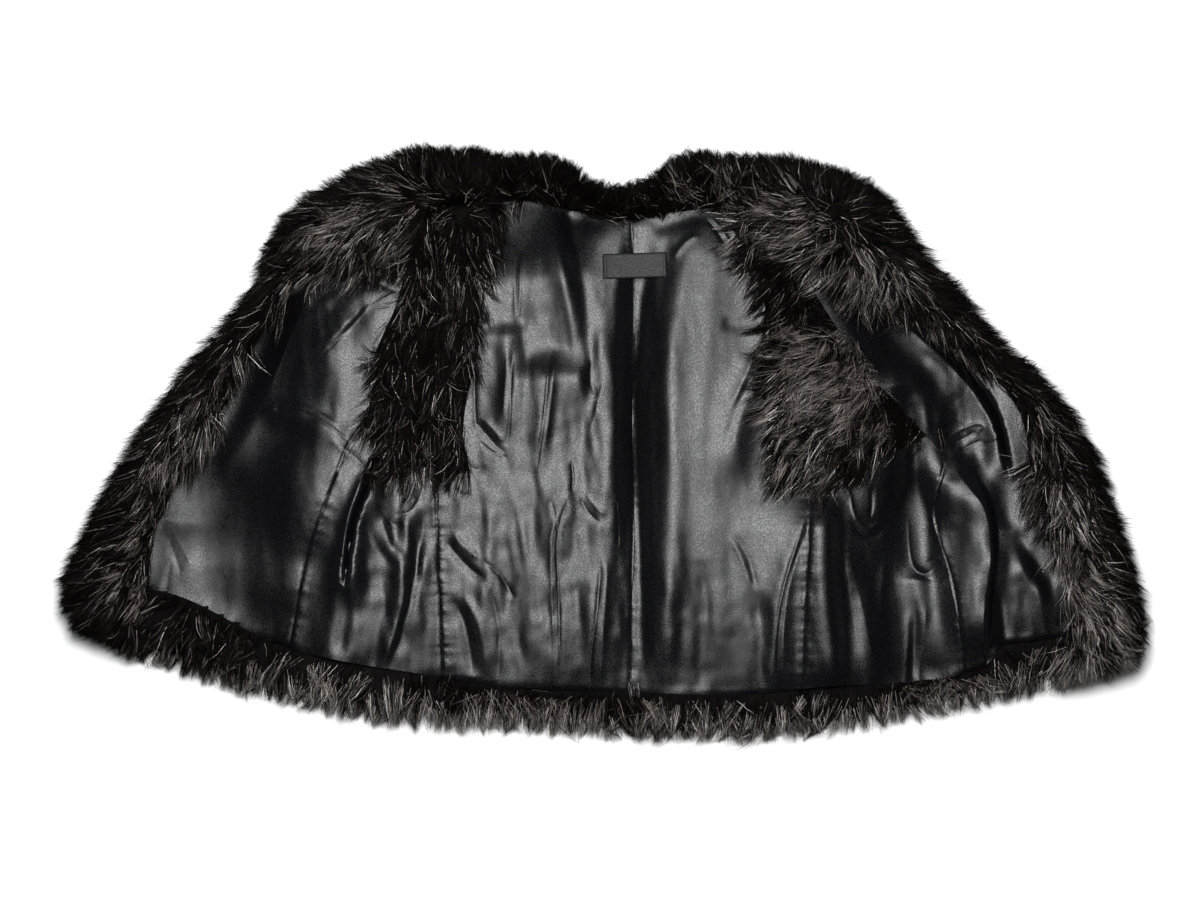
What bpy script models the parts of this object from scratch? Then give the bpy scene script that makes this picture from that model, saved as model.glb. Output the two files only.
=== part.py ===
"""A cropped fur gilet, laid open on its fur with the satin lining up. Metres, +Z up."""

import bpy
import numpy as np

MM = 0.001

# Driving sizes, in mm.
PILE = 17.0  # fur pressed between the floor and the lining
EDGE_HEIGHT = 9.0  # where the outer fur reaches furthest, above the floor
UNDER_INSET = 12.0  # how far in the flat underside ends, under a free edge
TOP_INSET = 4.0  # how far in the top of a panel ends, at a free edge
SEAM_GAP = 0.3  # between two pieces sewn together
REGION_INSET = 0.2  # each side of a seam within one panel
LINING = 1.6  # satin, with its seam turnings and felled edges
SLIT_ROUNDING = 8.0  # an armhole this wide has fully rounded edges
HEM_FLUFF = 5.0  # rise of the loose fur under the lining hem
PILE_EDGE = 4.0  # height at which turned-in fur ends on the lining side
PILE_ROUND = 26.0  # how far in turned-in fur reaches its full height
FACING_CREST = 24.0  # height of the turned-in front edge over its panel
NECK_CREST = 22.0
NECK_HUMP = 17.0  # rise of the neck fur between the middle of the neck and each shoulder
RIM_CREST = 15.0
UNDERARM_CREST = 42.0  # of the bunched fur, above the floor
LABEL_WIDTH = 61.0
LABEL_DEPTH = 24.0
LABEL_THICK = 1.0
LABEL_MIDDLE = (28.5, 167.0)
LABEL_TURN = np.radians(1.8)
LABEL_CLEAR = 34.0  # folds fade out this far from the label's middle
LABEL_LIFT = 0.45  # clearance over the two lining pieces

# Sections run across the whole garment, from the shoulders down to the tips of the hem fur.
SECTIONS = (
    "shoulder",
    "neck_seam",
    "facing_edge",
    "chest",
    "upper_armhole",
    "mid_armhole",
    "low_armhole",
    "underarm",
    "waist",
    "low_waist",
    "lining_hem",
    "fur_hem",
)
ROW_STEPS = (2, 2, 2, 2, 2, 2, 2, 3, 3, 3, 3)

# Each row is one section: x and y in mm where it crosses the named lines.
LEFT_FRONT = {
    # section:       outer edge,   facing edge,  armhole rim and panel seam
    "shoulder": ((-304, 225), (-266, 249), (-195, 281)),
    "neck_seam": ((-322, 190), (-276, 195), (-195, 220)),
    "facing_edge": ((-337, 156), (-288, 157), (-190, 173)),
    "chest": ((-364, 122), (-320, 119), (-200, 125)),
    "upper_armhole": ((-394, 86), (-344, 86), (-217, 86)),
    "mid_armhole": ((-428, 43), (-360, 46), (-222, 40)),
    "low_armhole": ((-453, 5), (-373, 2), (-229, 11)),
    "underarm": ((-476, -43), (-411, -43), (-255, -34)),
    "waist": ((-499, -95), (-428, -87), (-278, -98)),
    "low_waist": ((-514, -128), (-433, -120), (-290, -152)),
    "lining_hem": ((-516, -154), (-434, -142), (-299, -198)),
    "fur_hem": ((-501, -184), (-442, -209), (-304, -250)),
}
BACK = {
    # section:       left rim,     centre seam, right rim
    "shoulder": ((-100, 275), (12, 243), (133, 275)),
    "neck_seam": ((-101, 231), (26, 216), (130, 225)),
    "facing_edge": ((-103, 190), (27, 179), (126, 184)),
    "chest": ((-119, 141), (29, 133), (151, 135)),
    "upper_armhole": ((-120, 90), (28, 86), (156, 87)),
    "mid_armhole": ((-131, 42), (26, 38), (150, 40)),
    "low_armhole": ((-135, 4), (26, 0), (157, 4)),
    "underarm": ((-128, -32), (27, -38), (160, -40)),
    "waist": ((-124, -95), (28, -100), (157, -100)),
    "low_waist": ((-119, -162), (25, -163), (155, -163)),
    "lining_hem": ((-114, -231), (25, -239), (153, -240)),
    "fur_hem": ((-111, -275), (25, -283), (153, -285)),
}
RIGHT_FRONT = {
    # section:       panel seam,   facing edge, outer edge
    "shoulder": ((218, 264), (248, 251), (274, 230)),
    "neck_seam": ((219, 214), (269, 190), (301, 190)),
    "facing_edge": ((221, 156), (283, 133), (328, 162)),
    "chest": ((254, 104), (323, 100), (361, 124)),
    "upper_armhole": ((285, 62), (366, 66), (406, 76)),
    "mid_armhole": ((314, 24), (392, 33), (451, 27)),
    "low_armhole": ((328, -17), (402, -5), (474, -21)),
    "underarm": ((311, -66), (404, -52), (489, -71)),
    "waist": ((321, -109), (428, -90), (501, -116)),
    "low_waist": ((332, -162), (434, -142), (512, -160)),
    "lining_hem": ((342, -222), (440, -186), (513, -190)),
    "fur_hem": ((342, -256), (434, -238), (497, -220)),
}
# The shoulder seams above the armholes, and the side seams below them.
SIDES = {
    # section:       left seam, width of slit, right seam, width of slit
    "shoulder": ((-159, 286), 0, (176, 273), 0),
    "neck_seam": ((-162, 223), 0, (169, 223), 0),
    "facing_edge": ((-162, 184), 4, (179, 184), 3),
    "chest": ((-162, 137), 20, (194, 137), 8),
    "upper_armhole": ((-176, 89), 17, (212, 89), 31),
    "mid_armhole": ((-182, 42), 15, (231, 42), 69),
    "low_armhole": ((-180, 6), 12, (250, 6), 107),
    "underarm": ((-161, -28), 0, (197, -44), 0),
    "waist": ((-159, -95), 0, (193, -100), 0),
    "low_waist": ((-156, -162), 0, (189, -163), 0),
    "lining_hem": ((-153, -225), 0, (187, -236), 0),
    "fur_hem": ((-151, -275), 0, (187, -282), 0),
}
LEFT_FRONT_STEPS = (5, 10, 9)
BACK_STEPS = (4, 12, 11, 4)
RIGHT_FRONT_STEPS = (10, 8, 5)
RIM_TAIL = 3  # grid columns from the panel seam to the fur that goes on down to the left underarm

# The right edge of the fur bunched up in the right armhole, and its sections.
UNDERARM_EDGE = ((208, 100), (221, 89), (244, 62), (257, 42), (264, 24), (266, 6), (254, -12), (216, -28))
UNDERARM_TOP = 100.0
UNDERARM_FOOT = -30.0
UNDERARM_STEPS = 4

# Broad rises and hollows of the whole thickness, as bells.
SWELLS = {
    # name:               x,    y,   reach x, reach y, height
    "left_front_hollow": (-313, -38, 40, 110, -5),
    "left_front_rise": (-394, -105, 45, 70, 4),
    "left_chest_rise": (-247, 66, 32, 70, 5),
    "back_left_rise": (-95, 19, 38, 140, 3),
    "centre_valley": (30, -20, 20, 190, -4),
    "back_right_rise": (95, 10, 40, 150, 5),
    "right_side_hollow": (238, -150, 24, 80, -5),
    "right_chest_rise": (330, 60, 50, 60, 6),
    "right_hem_rise": (335, -150, 32, 70, 4),
}
# Turned-in fur stands higher where the shoulders fold and the pile bunches.
HEAPS = {
    # name:            x,    y,   reach x, reach y, height
    "left_shoulder": (-235, 232, 65, 40, 13),
    "right_shoulder": (235, 214, 60, 40, 12),
    "right_corner": (470, -170, 40, 60, 5),
    "left_corner": (-470, -120, 40, 60, 4),
    "right_back_rim": (182, 30, 40, 60, 14),
}
# The largest folds of the lining. The run goes down the cloth, and right is the right of the laid garment.
FOLDS = {
    # name:              height, width to the left, to the right, run
    "left_front_crease": (4, 22, 9, ((-200, 154), (-223, 133), (-269, 79))),
    "left_dart": (6, 20, 10, ((-320, 28), (-299, 29), (-271, 17), (-240, -6))),
    "left_side_deep": (10, 13, 20, ((-219, -30), (-236, -76), (-246, -150))),
    "left_side_slant": (6, 12, 14, ((-231, -81), (-190, -128))),
    "left_side_long": (7, 16, 14, ((-172, -104), (-190, -171), (-202, -220))),
    "back_band": (5, 22, 16, ((-57, 209), (-28, 142), (-12, 66))),
    "back_left_ridge": (5, 14, 14, ((-87, 104), (-90, 10))),
    "back_left_fold": (5, 16, 12, ((-52, 86), (-61, -24))),
    "back_long": (6, 18, 12, ((-30, -28), (-45, -86), (-43, -232))),
    "back_low": (4, 13, 12, ((-3, -114), (-14, -232))),
    "centre_left": (6, 18, 14, ((2, 130), (4, -10), (4, -232))),
    "centre_right": (6, 14, 22, ((54, 130), (60, -10), (56, -232))),
    "back_right_fold": (6, 14, 20, ((147, 86), (124, 19), (117, -30))),
    "back_right_pleat": (5, 14, 14, ((184, -90), (171, -133), (162, -235))),
    "right_side_edge": (7, 26, 12, ((207, -62), (208, -114), (216, -232))),
    "right_side_streak": (6, 14, 14, ((231, -100), (244, -162), (256, -232))),
    "right_side_tuck": (8, 18, 14, ((292, -62), (295, -114), (305, -171), (309, -222))),
    "right_overlap": (11, 42, 11, ((332, -28), (361, -66), (366, -114), (360, -152), (360, -208))),
    "right_cleft": (6, 26, 12, ((285, 120), (318, 84), (352, 52), (372, 14), (380, -28))),
    "right_diagonal": (5, 18, 18, ((385, -100), (418, -180))),
    "right_dart": (6, 16, 16, ((326, -19), (361, 2))),
}
FOLD_FADE = 0.18  # share of a fold's run over which each end dies away


# Lines, grids and the forms over them.


def smooth_line(points, steps):
    """A smooth line through the points, with the given steps between each two of them."""
    points = np.array(points, float)
    chords = np.linalg.norm(np.diff(points, axis=0), axis=1)
    knots = np.concatenate([[0.0], np.cumsum(chords)])
    slopes = np.gradient(points, knots, axis=0)
    line = [points[:1]]
    for i, count in enumerate(steps):
        t = (np.arange(1, count + 1) / count)[:, None]
        start = (1 + 2 * t) * (1 - t) ** 2 * points[i] + t * (1 - t) ** 2 * chords[i] * slopes[i]
        end = t**2 * (3 - 2 * t) * points[i + 1] - t**2 * (1 - t) * chords[i] * slopes[i + 1]
        line.append(start + end)
    return np.concatenate(line)


def eased(values, steps):
    """The values with steps between each two of them that start and end gently."""
    out = [values[0]]
    for before, after, count in zip(values, values[1:], steps):
        for t in np.arange(1, count + 1) / count:
            out.append(before + (after - before) * t * t * (3 - 2 * t))
    return np.array(out)


def seam_edges(line, width):
    """The two edges of a seam that opens into an armhole: left of it and right of it."""
    middle = smooth_line([SIDES[name][line] for name in SECTIONS], ROW_STEPS)
    half = eased([SIDES[name][width] for name in SECTIONS], ROW_STEPS).clip(SEAM_GAP) / 2
    aside = np.stack([half, np.zeros_like(half)], axis=1)
    return middle - aside, middle + aside, 2 * half


def column(table, index):
    return smooth_line([table[name][index] for name in SECTIONS], ROW_STEPS)


def panel_grid(before, lines, after, steps):
    """A grid of points through the lines that run down, level at its sides with the lines beyond them."""
    lines = [*before, *lines, *after]
    steps = [*[1] * len(before), *steps, *[1] * len(after)]
    rows = np.array([smooth_line([line[row] for line in lines], steps) for row in range(len(lines[0]))])
    return rows[:, len(before) : rows.shape[1] - len(after)]


def raise_the_neck(outline):
    """Lifts the fur at the back neck between its middle and each shoulder, and less so one row down."""
    start = BACK_STEPS[0]
    for count in BACK_STEPS[1:3]:
        lift = NECK_HUMP * np.sin(np.pi * np.linspace(0, 1, count + 1)) ** 2
        outline[0, start : start + count + 1, 1] += lift
        outline[1, start : start + count + 1, 1] += lift / 2
        start += count


def bells(table, x, y):
    total = np.zeros(np.shape(x))
    for middle_x, middle_y, reach_x, reach_y, height in table.values():
        away = ((x - middle_x) / reach_x) ** 2 + ((y - middle_y) / reach_y) ** 2
        total += height * np.exp(-away)
    return total


def laid_height(x, y):
    """The top of the fur panels, on which all else lies."""
    return PILE + bells(SWELLS, x, y)


def beside(x, y, run):
    """How far each point lies to the right of a run going down, and how far along it is, from 0 to 1."""
    run = np.array(run, float)
    lengths = np.linalg.norm(np.diff(run, axis=0), axis=1)
    nearest = np.full(np.shape(x), np.inf)
    aside = np.zeros(np.shape(x))
    along = np.zeros(np.shape(x))
    passed = 0.0
    for start, end, length in zip(run, run[1:], lengths):
        way = (end - start) / length
        t = ((x - start[0]) * way[0] + (y - start[1]) * way[1]).clip(0, length)
        off_x = x - start[0] - t * way[0]
        off_y = y - start[1] - t * way[1]
        away = np.hypot(off_x, off_y)
        closer = away < nearest
        nearest = np.where(closer, away, nearest)
        right = np.sign(off_y * way[0] - off_x * way[1])
        aside = np.where(closer, away * right, aside)
        along = np.where(closer, (passed + t) / lengths.sum(), along)
        passed += length
    return aside, along


def fold_height(x, y):
    total = np.zeros(np.shape(x))
    for height, left, right, run in FOLDS.values():
        aside, along = beside(x, y, run)
        across = (np.abs(aside) / np.where(aside < 0, left, right)).clip(0, 1)
        ends = (np.minimum(along, 1 - along) / FOLD_FADE).clip(0, 1)
        fold = height * np.cos(across * np.pi / 2) ** 2 * np.sin(ends * np.pi / 2)
        total = np.maximum(total, fold)
    from_label = np.hypot(x - LABEL_MIDDLE[0], y - LABEL_MIDDLE[1])
    return total * ((from_label - LABEL_CLEAR) / LABEL_CLEAR).clip(0, 1)


def lining_height(x, y):
    """The underside of the lining."""
    return laid_height(x, y) + SEAM_GAP + fold_height(x, y)


def drawn_in(grid, amount, free):
    """The grid with its free edges moved in by the amount, each along the grid's own lines."""
    moved = grid.copy()
    inner = {
        "top": (np.s_[0], np.s_[1]),
        "hem": (np.s_[-1], np.s_[-2]),
        "start": (np.s_[:, 0], np.s_[:, 1]),
        "end": (np.s_[:, -1], np.s_[:, -2]),
    }
    for side, (edge, inside) in inner.items():
        way = grid[inside] - grid[edge]
        way /= np.linalg.norm(way, axis=-1, keepdims=True)
        moved[edge] += amount * way * np.broadcast_to(free[side], way.shape[:1])[:, None]
    return moved


class Panel:
    """One fur panel: its grid, its named rows and columns, and which of its edges are free."""

    def __init__(self, outline, steps, start_free, end_free):
        self.outline = outline
        self.free = {"top": 1.0, "hem": 1.0, "start": start_free, "end": end_free}
        self.rows = dict(zip(SECTIONS, np.concatenate([[0], np.cumsum(ROW_STEPS)])))
        self.columns = np.concatenate([[0], np.cumsum(steps)])
        self.plan = drawn_in(self.outline, TOP_INSET, self.free)
        self.top = self.heights_of_top()

    def heights_of_top(self):
        x, y = self.plan[..., 0], self.plan[..., 1]
        height = laid_height(x, y)
        hem = self.rows["lining_hem"]
        height[hem + 1 : -1] += HEM_FLUFF
        height[-1] = (height[-1] + EDGE_HEIGHT) / 2
        return height

    def cells(self, *blocks):
        """A mask of grid cells from blocks of first and last section, first and last line."""
        mask = np.zeros((self.plan.shape[0] - 1, self.plan.shape[1] - 1), bool)
        for first, last, start, end in blocks:
            rows = slice(self.rows[first], self.rows[last])
            mask[rows, self.columns[start] : self.columns[end]] = True
        return mask


def corners_used(mask):
    """Of each grid point, how many cells of the mask meet there."""
    count = np.zeros((mask.shape[0] + 1, mask.shape[1] + 1), int)
    for down in (0, 1):
        for across in (0, 1):
            count[down : down + mask.shape[0], across : across + mask.shape[1]] += mask
    return count


def border_edges(mask):
    """The mask's border: both ends of each grid edge, the cell it closes, and if a cell lies beyond it."""
    rows, columns = mask.shape
    runs = [((row, col), (row, col + 1), (row - 1, col)) for row in range(rows + 1) for col in range(columns)]
    runs += [((row, col), (row + 1, col), (row, col - 1)) for row in range(rows) for col in range(columns + 1)]
    edges = []
    for start, end, before in runs:
        cells = [cell for cell in (before, start) if 0 <= cell[0] < rows and 0 <= cell[1] < columns]
        filled = [cell for cell in cells if mask[cell]]
        if len(filled) == 1:
            edges.append((start, end, filled[0], len(cells) == 2))
    return edges


def off_the_seams(plan, mask):
    """The plan with the mask's border moved in by a hair wherever more of the panel lies beyond it."""
    walls = {}
    for start, end, (row, col), inner in border_edges(mask):
        way = plan[end] - plan[start]
        aside = np.array([-way[1], way[0]]) / np.linalg.norm(way)
        centre = plan[row : row + 2, col : col + 2].reshape(4, 2).mean(axis=0)
        aside *= np.sign(aside @ (centre - plan[start]))
        for place in (start, end):
            walls.setdefault(place, []).append((aside, REGION_INSET if inner else 0.0))
    moved = plan.copy()
    for place, sides in walls.items():
        ways = np.array([aside for aside, _ in sides])
        moved[place] += np.linalg.lstsq(ways, [inset for _, inset in sides], rcond=0.2)[0]
    return moved


def border_segments(plan, mask, joined):
    """The free border of a mask, as pairs of points. Joined grid points lie on a seam to more fur."""
    edges = [(start, end) for start, end, _, _ in border_edges(mask) if not (joined[start] and joined[end])]
    return np.array([(plan[start], plan[end]) for start, end in edges])


def distance_to(plan, segments):
    nearest = np.full(plan.shape[:-1], np.inf)
    for start, end in segments:
        way = end - start
        t = ((plan - start) @ way / (way @ way)).clip(0, 1)
        nearest = np.minimum(nearest, np.linalg.norm(plan - start - t[..., None] * way, axis=-1))
    return nearest


# Solids and their materials.


def material(name, colour, roughness):
    made = bpy.data.materials.new(name)
    made.use_nodes = True
    shader = made.node_tree.nodes["Principled BSDF"]
    shader.inputs["Base Color"].default_value = (*colour, 1.0)
    shader.inputs["Roughness"].default_value = roughness
    shader.inputs["Metallic"].default_value = 0.0
    return made


def fur_material(name):
    return material(name + "_fur", (0.022, 0.015, 0.012), 0.6)


def satin_material(name):
    return material(name + "_satin", (0.02, 0.02, 0.026), 0.32)


def add_object(name, points, faces, finish):
    """An object from points in mm, set about the middle of the laid garment."""
    points = (np.array(points) - [*MIDDLE, 0.0]) * MM
    mesh = bpy.data.meshes.new(name)
    mesh.from_pydata(points.tolist(), [], faces)
    mesh.materials.append(finish)
    mesh.shade_smooth()
    mesh.set_sharp_from_angle(angle=np.radians(50))
    mesh.update()
    placed = bpy.data.objects.new(name, mesh)
    bpy.context.scene.collection.objects.link(placed)
    return placed


def cell_solid(name, low, high, mask, finish):
    """Closes the cells of the mask into one body between its low points and its high points."""
    used = corners_used(mask) > 0
    index = np.full(used.shape, -1)
    index[used] = np.arange(used.sum())
    count = int(used.sum())
    points = np.concatenate([low[used], high[used]])
    faces = []
    edges = {}
    for row, col in zip(*np.nonzero(mask)):
        a, b = index[row, col], index[row, col + 1]
        c, d = index[row + 1, col + 1], index[row + 1, col]
        faces += [(a, b, c), (a, c, d)]
        faces += [(a + count, c + count, b + count), (a + count, d + count, c + count)]
        for edge in ((a, b), (b, c), (c, d), (d, a)):
            edges[edge] = True
    for start, end in edges:
        if (end, start) not in edges:
            faces += [(end, start, start + count), (end, start + count, end + count)]
    return add_object(name, points, [tuple(int(i) for i in face) for face in faces], finish)


def border_loop(rows, columns):
    """Grid places round the whole border, clockwise from above."""
    top = [(0, col) for col in range(columns - 1)]
    end = [(row, columns - 1) for row in range(rows - 1)]
    hem = [(rows - 1, col) for col in range(columns - 1, 0, -1)]
    start = [(row, 0) for row in range(rows - 1, 0, -1)]
    return top + end + hem + start


def fur_panel(name, panel):
    """A panel of fur: a laid top, rounded free edges that reach to the tips, and a flat underside."""
    rows, columns = panel.top.shape
    loop = border_loop(rows, columns)
    top = np.dstack([panel.plan, panel.top]).reshape(-1, 3)
    reach = [[*panel.outline[place], EDGE_HEIGHT] for place in loop]
    under_plan = drawn_in(panel.outline, UNDER_INSET, panel.free)
    under = [[*under_plan[place], 0.0] for place in loop]
    points = np.concatenate([top, reach, under])
    faces = []
    for row in range(rows - 1):
        for col in range(columns - 1):
            a = row * columns + col
            d = a + columns
            faces += [(a, d + 1, a + 1), (a, d, d + 1)]
    size = len(loop)
    first = len(top)
    rings = [
        [row * columns + col for row, col in loop],
        list(range(first, first + size)),
        list(range(first + size, first + 2 * size)),
    ]
    for upper, lower in zip(rings, rings[1:]):
        for i in range(size):
            j = (i + 1) % size
            faces += [(upper[i], upper[j], lower[j]), (upper[i], lower[j], lower[i])]
    faces.append(tuple(rings[2]))
    return add_object(name, points, faces, fur_material(name))


def lining_piece(name, panel, mask):
    """Satin of one thickness on the panel's own points, with its largest folds lifted off them."""
    plan = off_the_seams(panel.plan, mask)
    low_z = panel.top + SEAM_GAP + fold_height(plan[..., 0], plan[..., 1])
    low = np.dstack([plan, low_z])
    high = np.dstack([plan, low_z + LINING])
    return cell_solid(name, low, high, mask, satin_material(name))


def turned_in_fur(name, panel, mask, all_fur, joined, crest):
    """Fur turned in over the panel's own points, round where it ends and highest along its middle."""
    plan = off_the_seams(panel.plan, mask)
    low = np.dstack([plan, panel.top + SEAM_GAP])
    into = distance_to(panel.plan, border_segments(panel.plan, all_fur, joined))
    rounding = np.sqrt(1 - (1 - (into / PILE_ROUND).clip(0, 1)) ** 2)
    full = crest + bells(HEAPS, plan[..., 0], plan[..., 1])
    pulled = drawn_in(panel.plan, TOP_INSET, panel.free)
    upper = plan + (pulled - panel.plan)
    high = np.dstack([upper, low[..., 2] + PILE_EDGE + (full - PILE_EDGE) * rounding])
    return cell_solid(name, low, high, mask, fur_material(name))


def bunched_fur(name, panel):
    """The underarm fur that stands up through the right armhole, from the floor, beside the back."""
    edge = smooth_line(UNDERARM_EDGE, [2] * (len(UNDERARM_EDGE) - 1))
    edge = edge[(edge[:, 1] <= UNDERARM_TOP) & (edge[:, 1] >= UNDERARM_FOOT)]
    side = panel.outline[:, -1]
    start_x = np.interp(-edge[:, 1], -side[:, 1], side[:, 0]) + 2 * SEAM_GAP
    across = np.linspace(0, 1, UNDERARM_STEPS + 1)
    x = start_x[:, None] + (edge[:, 0] - start_x)[:, None] * across
    y = np.repeat(edge[:, 1:], UNDERARM_STEPS + 1, axis=1)
    plan = np.dstack([x, y])
    mask = np.ones((plan.shape[0] - 1, plan.shape[1] - 1), bool)
    free = {"top": 1.0, "hem": 1.0, "start": 0.0, "end": 1.0}
    inside = border_segments(plan, mask, np.broadcast_to(across == 0, x.shape))
    rounding = np.sqrt(1 - (1 - (distance_to(plan, inside) / PILE_ROUND).clip(0, 1)) ** 2)
    low = np.dstack([drawn_in(plan, TOP_INSET / 2, free), np.zeros_like(x)])
    height = EDGE_HEIGHT + (UNDERARM_CREST - EDGE_HEIGHT) * rounding
    return cell_solid(name, low, np.dstack([plan, height]), mask, fur_material(name))


def blank_label(name):
    """A woven satin label with nothing on it, across the centre seam at the back neck."""
    columns = np.linspace(-LABEL_WIDTH / 2, LABEL_WIDTH / 2, 9)
    rows = np.linspace(LABEL_DEPTH / 2, -LABEL_DEPTH / 2, 4)
    across, down = np.meshgrid(columns, rows)
    x = LABEL_MIDDLE[0] + across * np.cos(LABEL_TURN) - down * np.sin(LABEL_TURN)
    y = LABEL_MIDDLE[1] + across * np.sin(LABEL_TURN) + down * np.cos(LABEL_TURN)
    low_z = lining_height(x, y) + LINING + LABEL_LIFT
    mask = np.ones((len(rows) - 1, len(columns) - 1), bool)
    finish = material(name + "_satin", (0.035, 0.035, 0.04), 0.3)
    return cell_solid(name, np.dstack([x, y, low_z]), np.dstack([x, y, low_z + LABEL_THICK]), mask, finish)


# The garment.

left_of_left_seam, right_of_left_seam, left_slit = seam_edges(0, 1)
left_of_right_seam, right_of_right_seam, right_slit = seam_edges(2, 3)
left_open = ((left_slit - SEAM_GAP) / SLIT_ROUNDING).clip(0, 1)
right_open = ((right_slit - SEAM_GAP) / SLIT_ROUNDING).clip(0, 1)

left_lines = [column(LEFT_FRONT, index) for index in range(3)]
back_lines = [column(BACK, index) for index in range(3)]
right_lines = [column(RIGHT_FRONT, index) for index in range(3)]

left_front = Panel(
    panel_grid([], [*left_lines, left_of_left_seam], back_lines[:1], LEFT_FRONT_STEPS),
    LEFT_FRONT_STEPS,
    1.0,
    left_open,
)
back_outline = panel_grid(
    left_lines[-1:],
    [right_of_left_seam, *back_lines, left_of_right_seam],
    right_lines[:1],
    BACK_STEPS,
)
raise_the_neck(back_outline)
back = Panel(back_outline, BACK_STEPS, left_open, right_open)
right_front = Panel(
    panel_grid(back_lines[-1:], [right_of_right_seam, *right_lines], [], RIGHT_FRONT_STEPS),
    RIGHT_FRONT_STEPS,
    right_open,
    1.0,
)
REACH = np.concatenate([panel.outline.reshape(-1, 2) for panel in (left_front, back, right_front)])
MIDDLE = (REACH.min(axis=0) + REACH.max(axis=0)) / 2

for placed in list(bpy.data.objects):
    bpy.data.objects.remove(placed, do_unlink=True)

fur_panel("fur_front_left", left_front)
fur_panel("fur_back", back)
fur_panel("fur_front_right", right_front)


def seam_points(panel, start_open, end_open):
    """Which grid points lie where fur goes on across a closed seam."""
    joined = np.zeros(panel.top.shape, bool)
    if start_open is not None:
        joined[:, 0] = start_open == 0
    if end_open is not None:
        joined[:, -1] = end_open == 0
    return joined


left_facing = left_front.cells(("shoulder", "fur_hem", 0, 1), ("shoulder", "facing_edge", 1, 3))
left_rim = left_front.cells(("facing_edge", "low_armhole", 2, 3))
left_side = left_front.cells(("low_armhole", "lining_hem", 2, 3))
tail = left_front.cells(("low_armhole", "underarm", 2, 3))
tail[:, : left_front.columns[2] + RIM_TAIL] = False
left_rim |= tail
left_side &= ~tail
left_joined = seam_points(left_front, None, left_open)
turned_in_fur("fur_facing_left", left_front, left_facing, left_facing | left_rim, left_joined, FACING_CREST)
turned_in_fur("fur_armhole_left_front", left_front, left_rim, left_facing | left_rim, left_joined, RIM_CREST)
lining_piece("lining_front_left", left_front, left_front.cells(("facing_edge", "lining_hem", 1, 2)))
lining_piece("lining_side_left", left_front, left_side)

neck = back.cells(("shoulder", "neck_seam", 0, 4))
back_left_rim = back.cells(("neck_seam", "underarm", 0, 1))
back_right_rim = back.cells(("neck_seam", "underarm", 3, 4))
back_fur = neck | back_left_rim | back_right_rim
back_joined = seam_points(back, left_open, right_open)
turned_in_fur("fur_facing_neck", back, neck, back_fur, back_joined, NECK_CREST)
turned_in_fur("fur_armhole_left_back", back, back_left_rim, back_fur, back_joined, RIM_CREST)
turned_in_fur("fur_armhole_right_back", back, back_right_rim, back_fur, back_joined, RIM_CREST)
back_left = back.cells(("neck_seam", "lining_hem", 1, 2), ("underarm", "lining_hem", 0, 1))
back_right = back.cells(("neck_seam", "lining_hem", 2, 3), ("underarm", "lining_hem", 3, 4))
lining_piece("lining_back_left", back, back_left)
lining_piece("lining_back_right", back, back_right)
blank_label("label")

right_facing = right_front.cells(("shoulder", "fur_hem", 2, 3), ("shoulder", "facing_edge", 0, 2))
right_joined = seam_points(right_front, right_open, None)
turned_in_fur("fur_facing_right", right_front, right_facing, right_facing, right_joined, FACING_CREST)
right_main = right_front.cells(("facing_edge", "lining_hem", 1, 2), ("facing_edge", "low_armhole", 0, 1))
lining_piece("lining_front_right", right_front, right_main)
lining_piece("lining_side_right", right_front, right_front.cells(("low_armhole", "lining_hem", 0, 1)))
bunched_fur("fur_underarm_right", back)
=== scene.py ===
import math

import bmesh
import bpy
import numpy as np
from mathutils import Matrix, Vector, geometry, kdtree
from mathutils.bvhtree import BVHTree


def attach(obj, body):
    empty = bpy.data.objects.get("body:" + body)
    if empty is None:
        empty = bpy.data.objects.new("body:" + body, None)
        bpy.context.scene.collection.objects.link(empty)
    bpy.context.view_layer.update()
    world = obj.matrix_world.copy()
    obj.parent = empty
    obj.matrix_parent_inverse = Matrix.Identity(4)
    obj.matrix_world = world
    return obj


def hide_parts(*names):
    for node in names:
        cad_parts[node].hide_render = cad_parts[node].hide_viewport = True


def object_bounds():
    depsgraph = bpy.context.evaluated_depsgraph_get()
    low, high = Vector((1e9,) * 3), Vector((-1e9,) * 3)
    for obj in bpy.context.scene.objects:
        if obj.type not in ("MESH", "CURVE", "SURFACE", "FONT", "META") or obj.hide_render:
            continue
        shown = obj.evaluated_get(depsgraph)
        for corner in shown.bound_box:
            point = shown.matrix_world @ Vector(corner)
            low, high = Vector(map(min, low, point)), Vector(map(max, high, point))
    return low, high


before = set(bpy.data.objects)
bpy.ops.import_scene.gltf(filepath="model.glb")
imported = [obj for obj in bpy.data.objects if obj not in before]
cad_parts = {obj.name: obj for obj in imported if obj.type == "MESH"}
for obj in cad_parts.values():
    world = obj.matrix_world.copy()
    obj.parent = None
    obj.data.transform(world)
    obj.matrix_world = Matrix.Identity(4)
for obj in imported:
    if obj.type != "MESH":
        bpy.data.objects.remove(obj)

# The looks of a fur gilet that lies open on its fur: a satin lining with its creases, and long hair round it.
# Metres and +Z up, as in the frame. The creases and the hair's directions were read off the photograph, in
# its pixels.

CAD_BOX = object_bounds()
MM = 0.001

# The photograph.
PIXEL = 0.95 * MM  # one pixel of the photograph on the cloth
PHOTO_ZERO = (605.0 - 1.294 / 0.95, 440.0 + 0.058 / 0.95)  # the pixel over the frame's origin
PHOTO_CENTRE = (600.0, 450.0)
PHOTO_WIDTH = 1200.0
CAMERA_ELEVATION = 85.0
CAMERA_AWAY = 3.2
CAMERA_AIM = 0.02  # over the floor
SENSOR = 0.036

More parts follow.
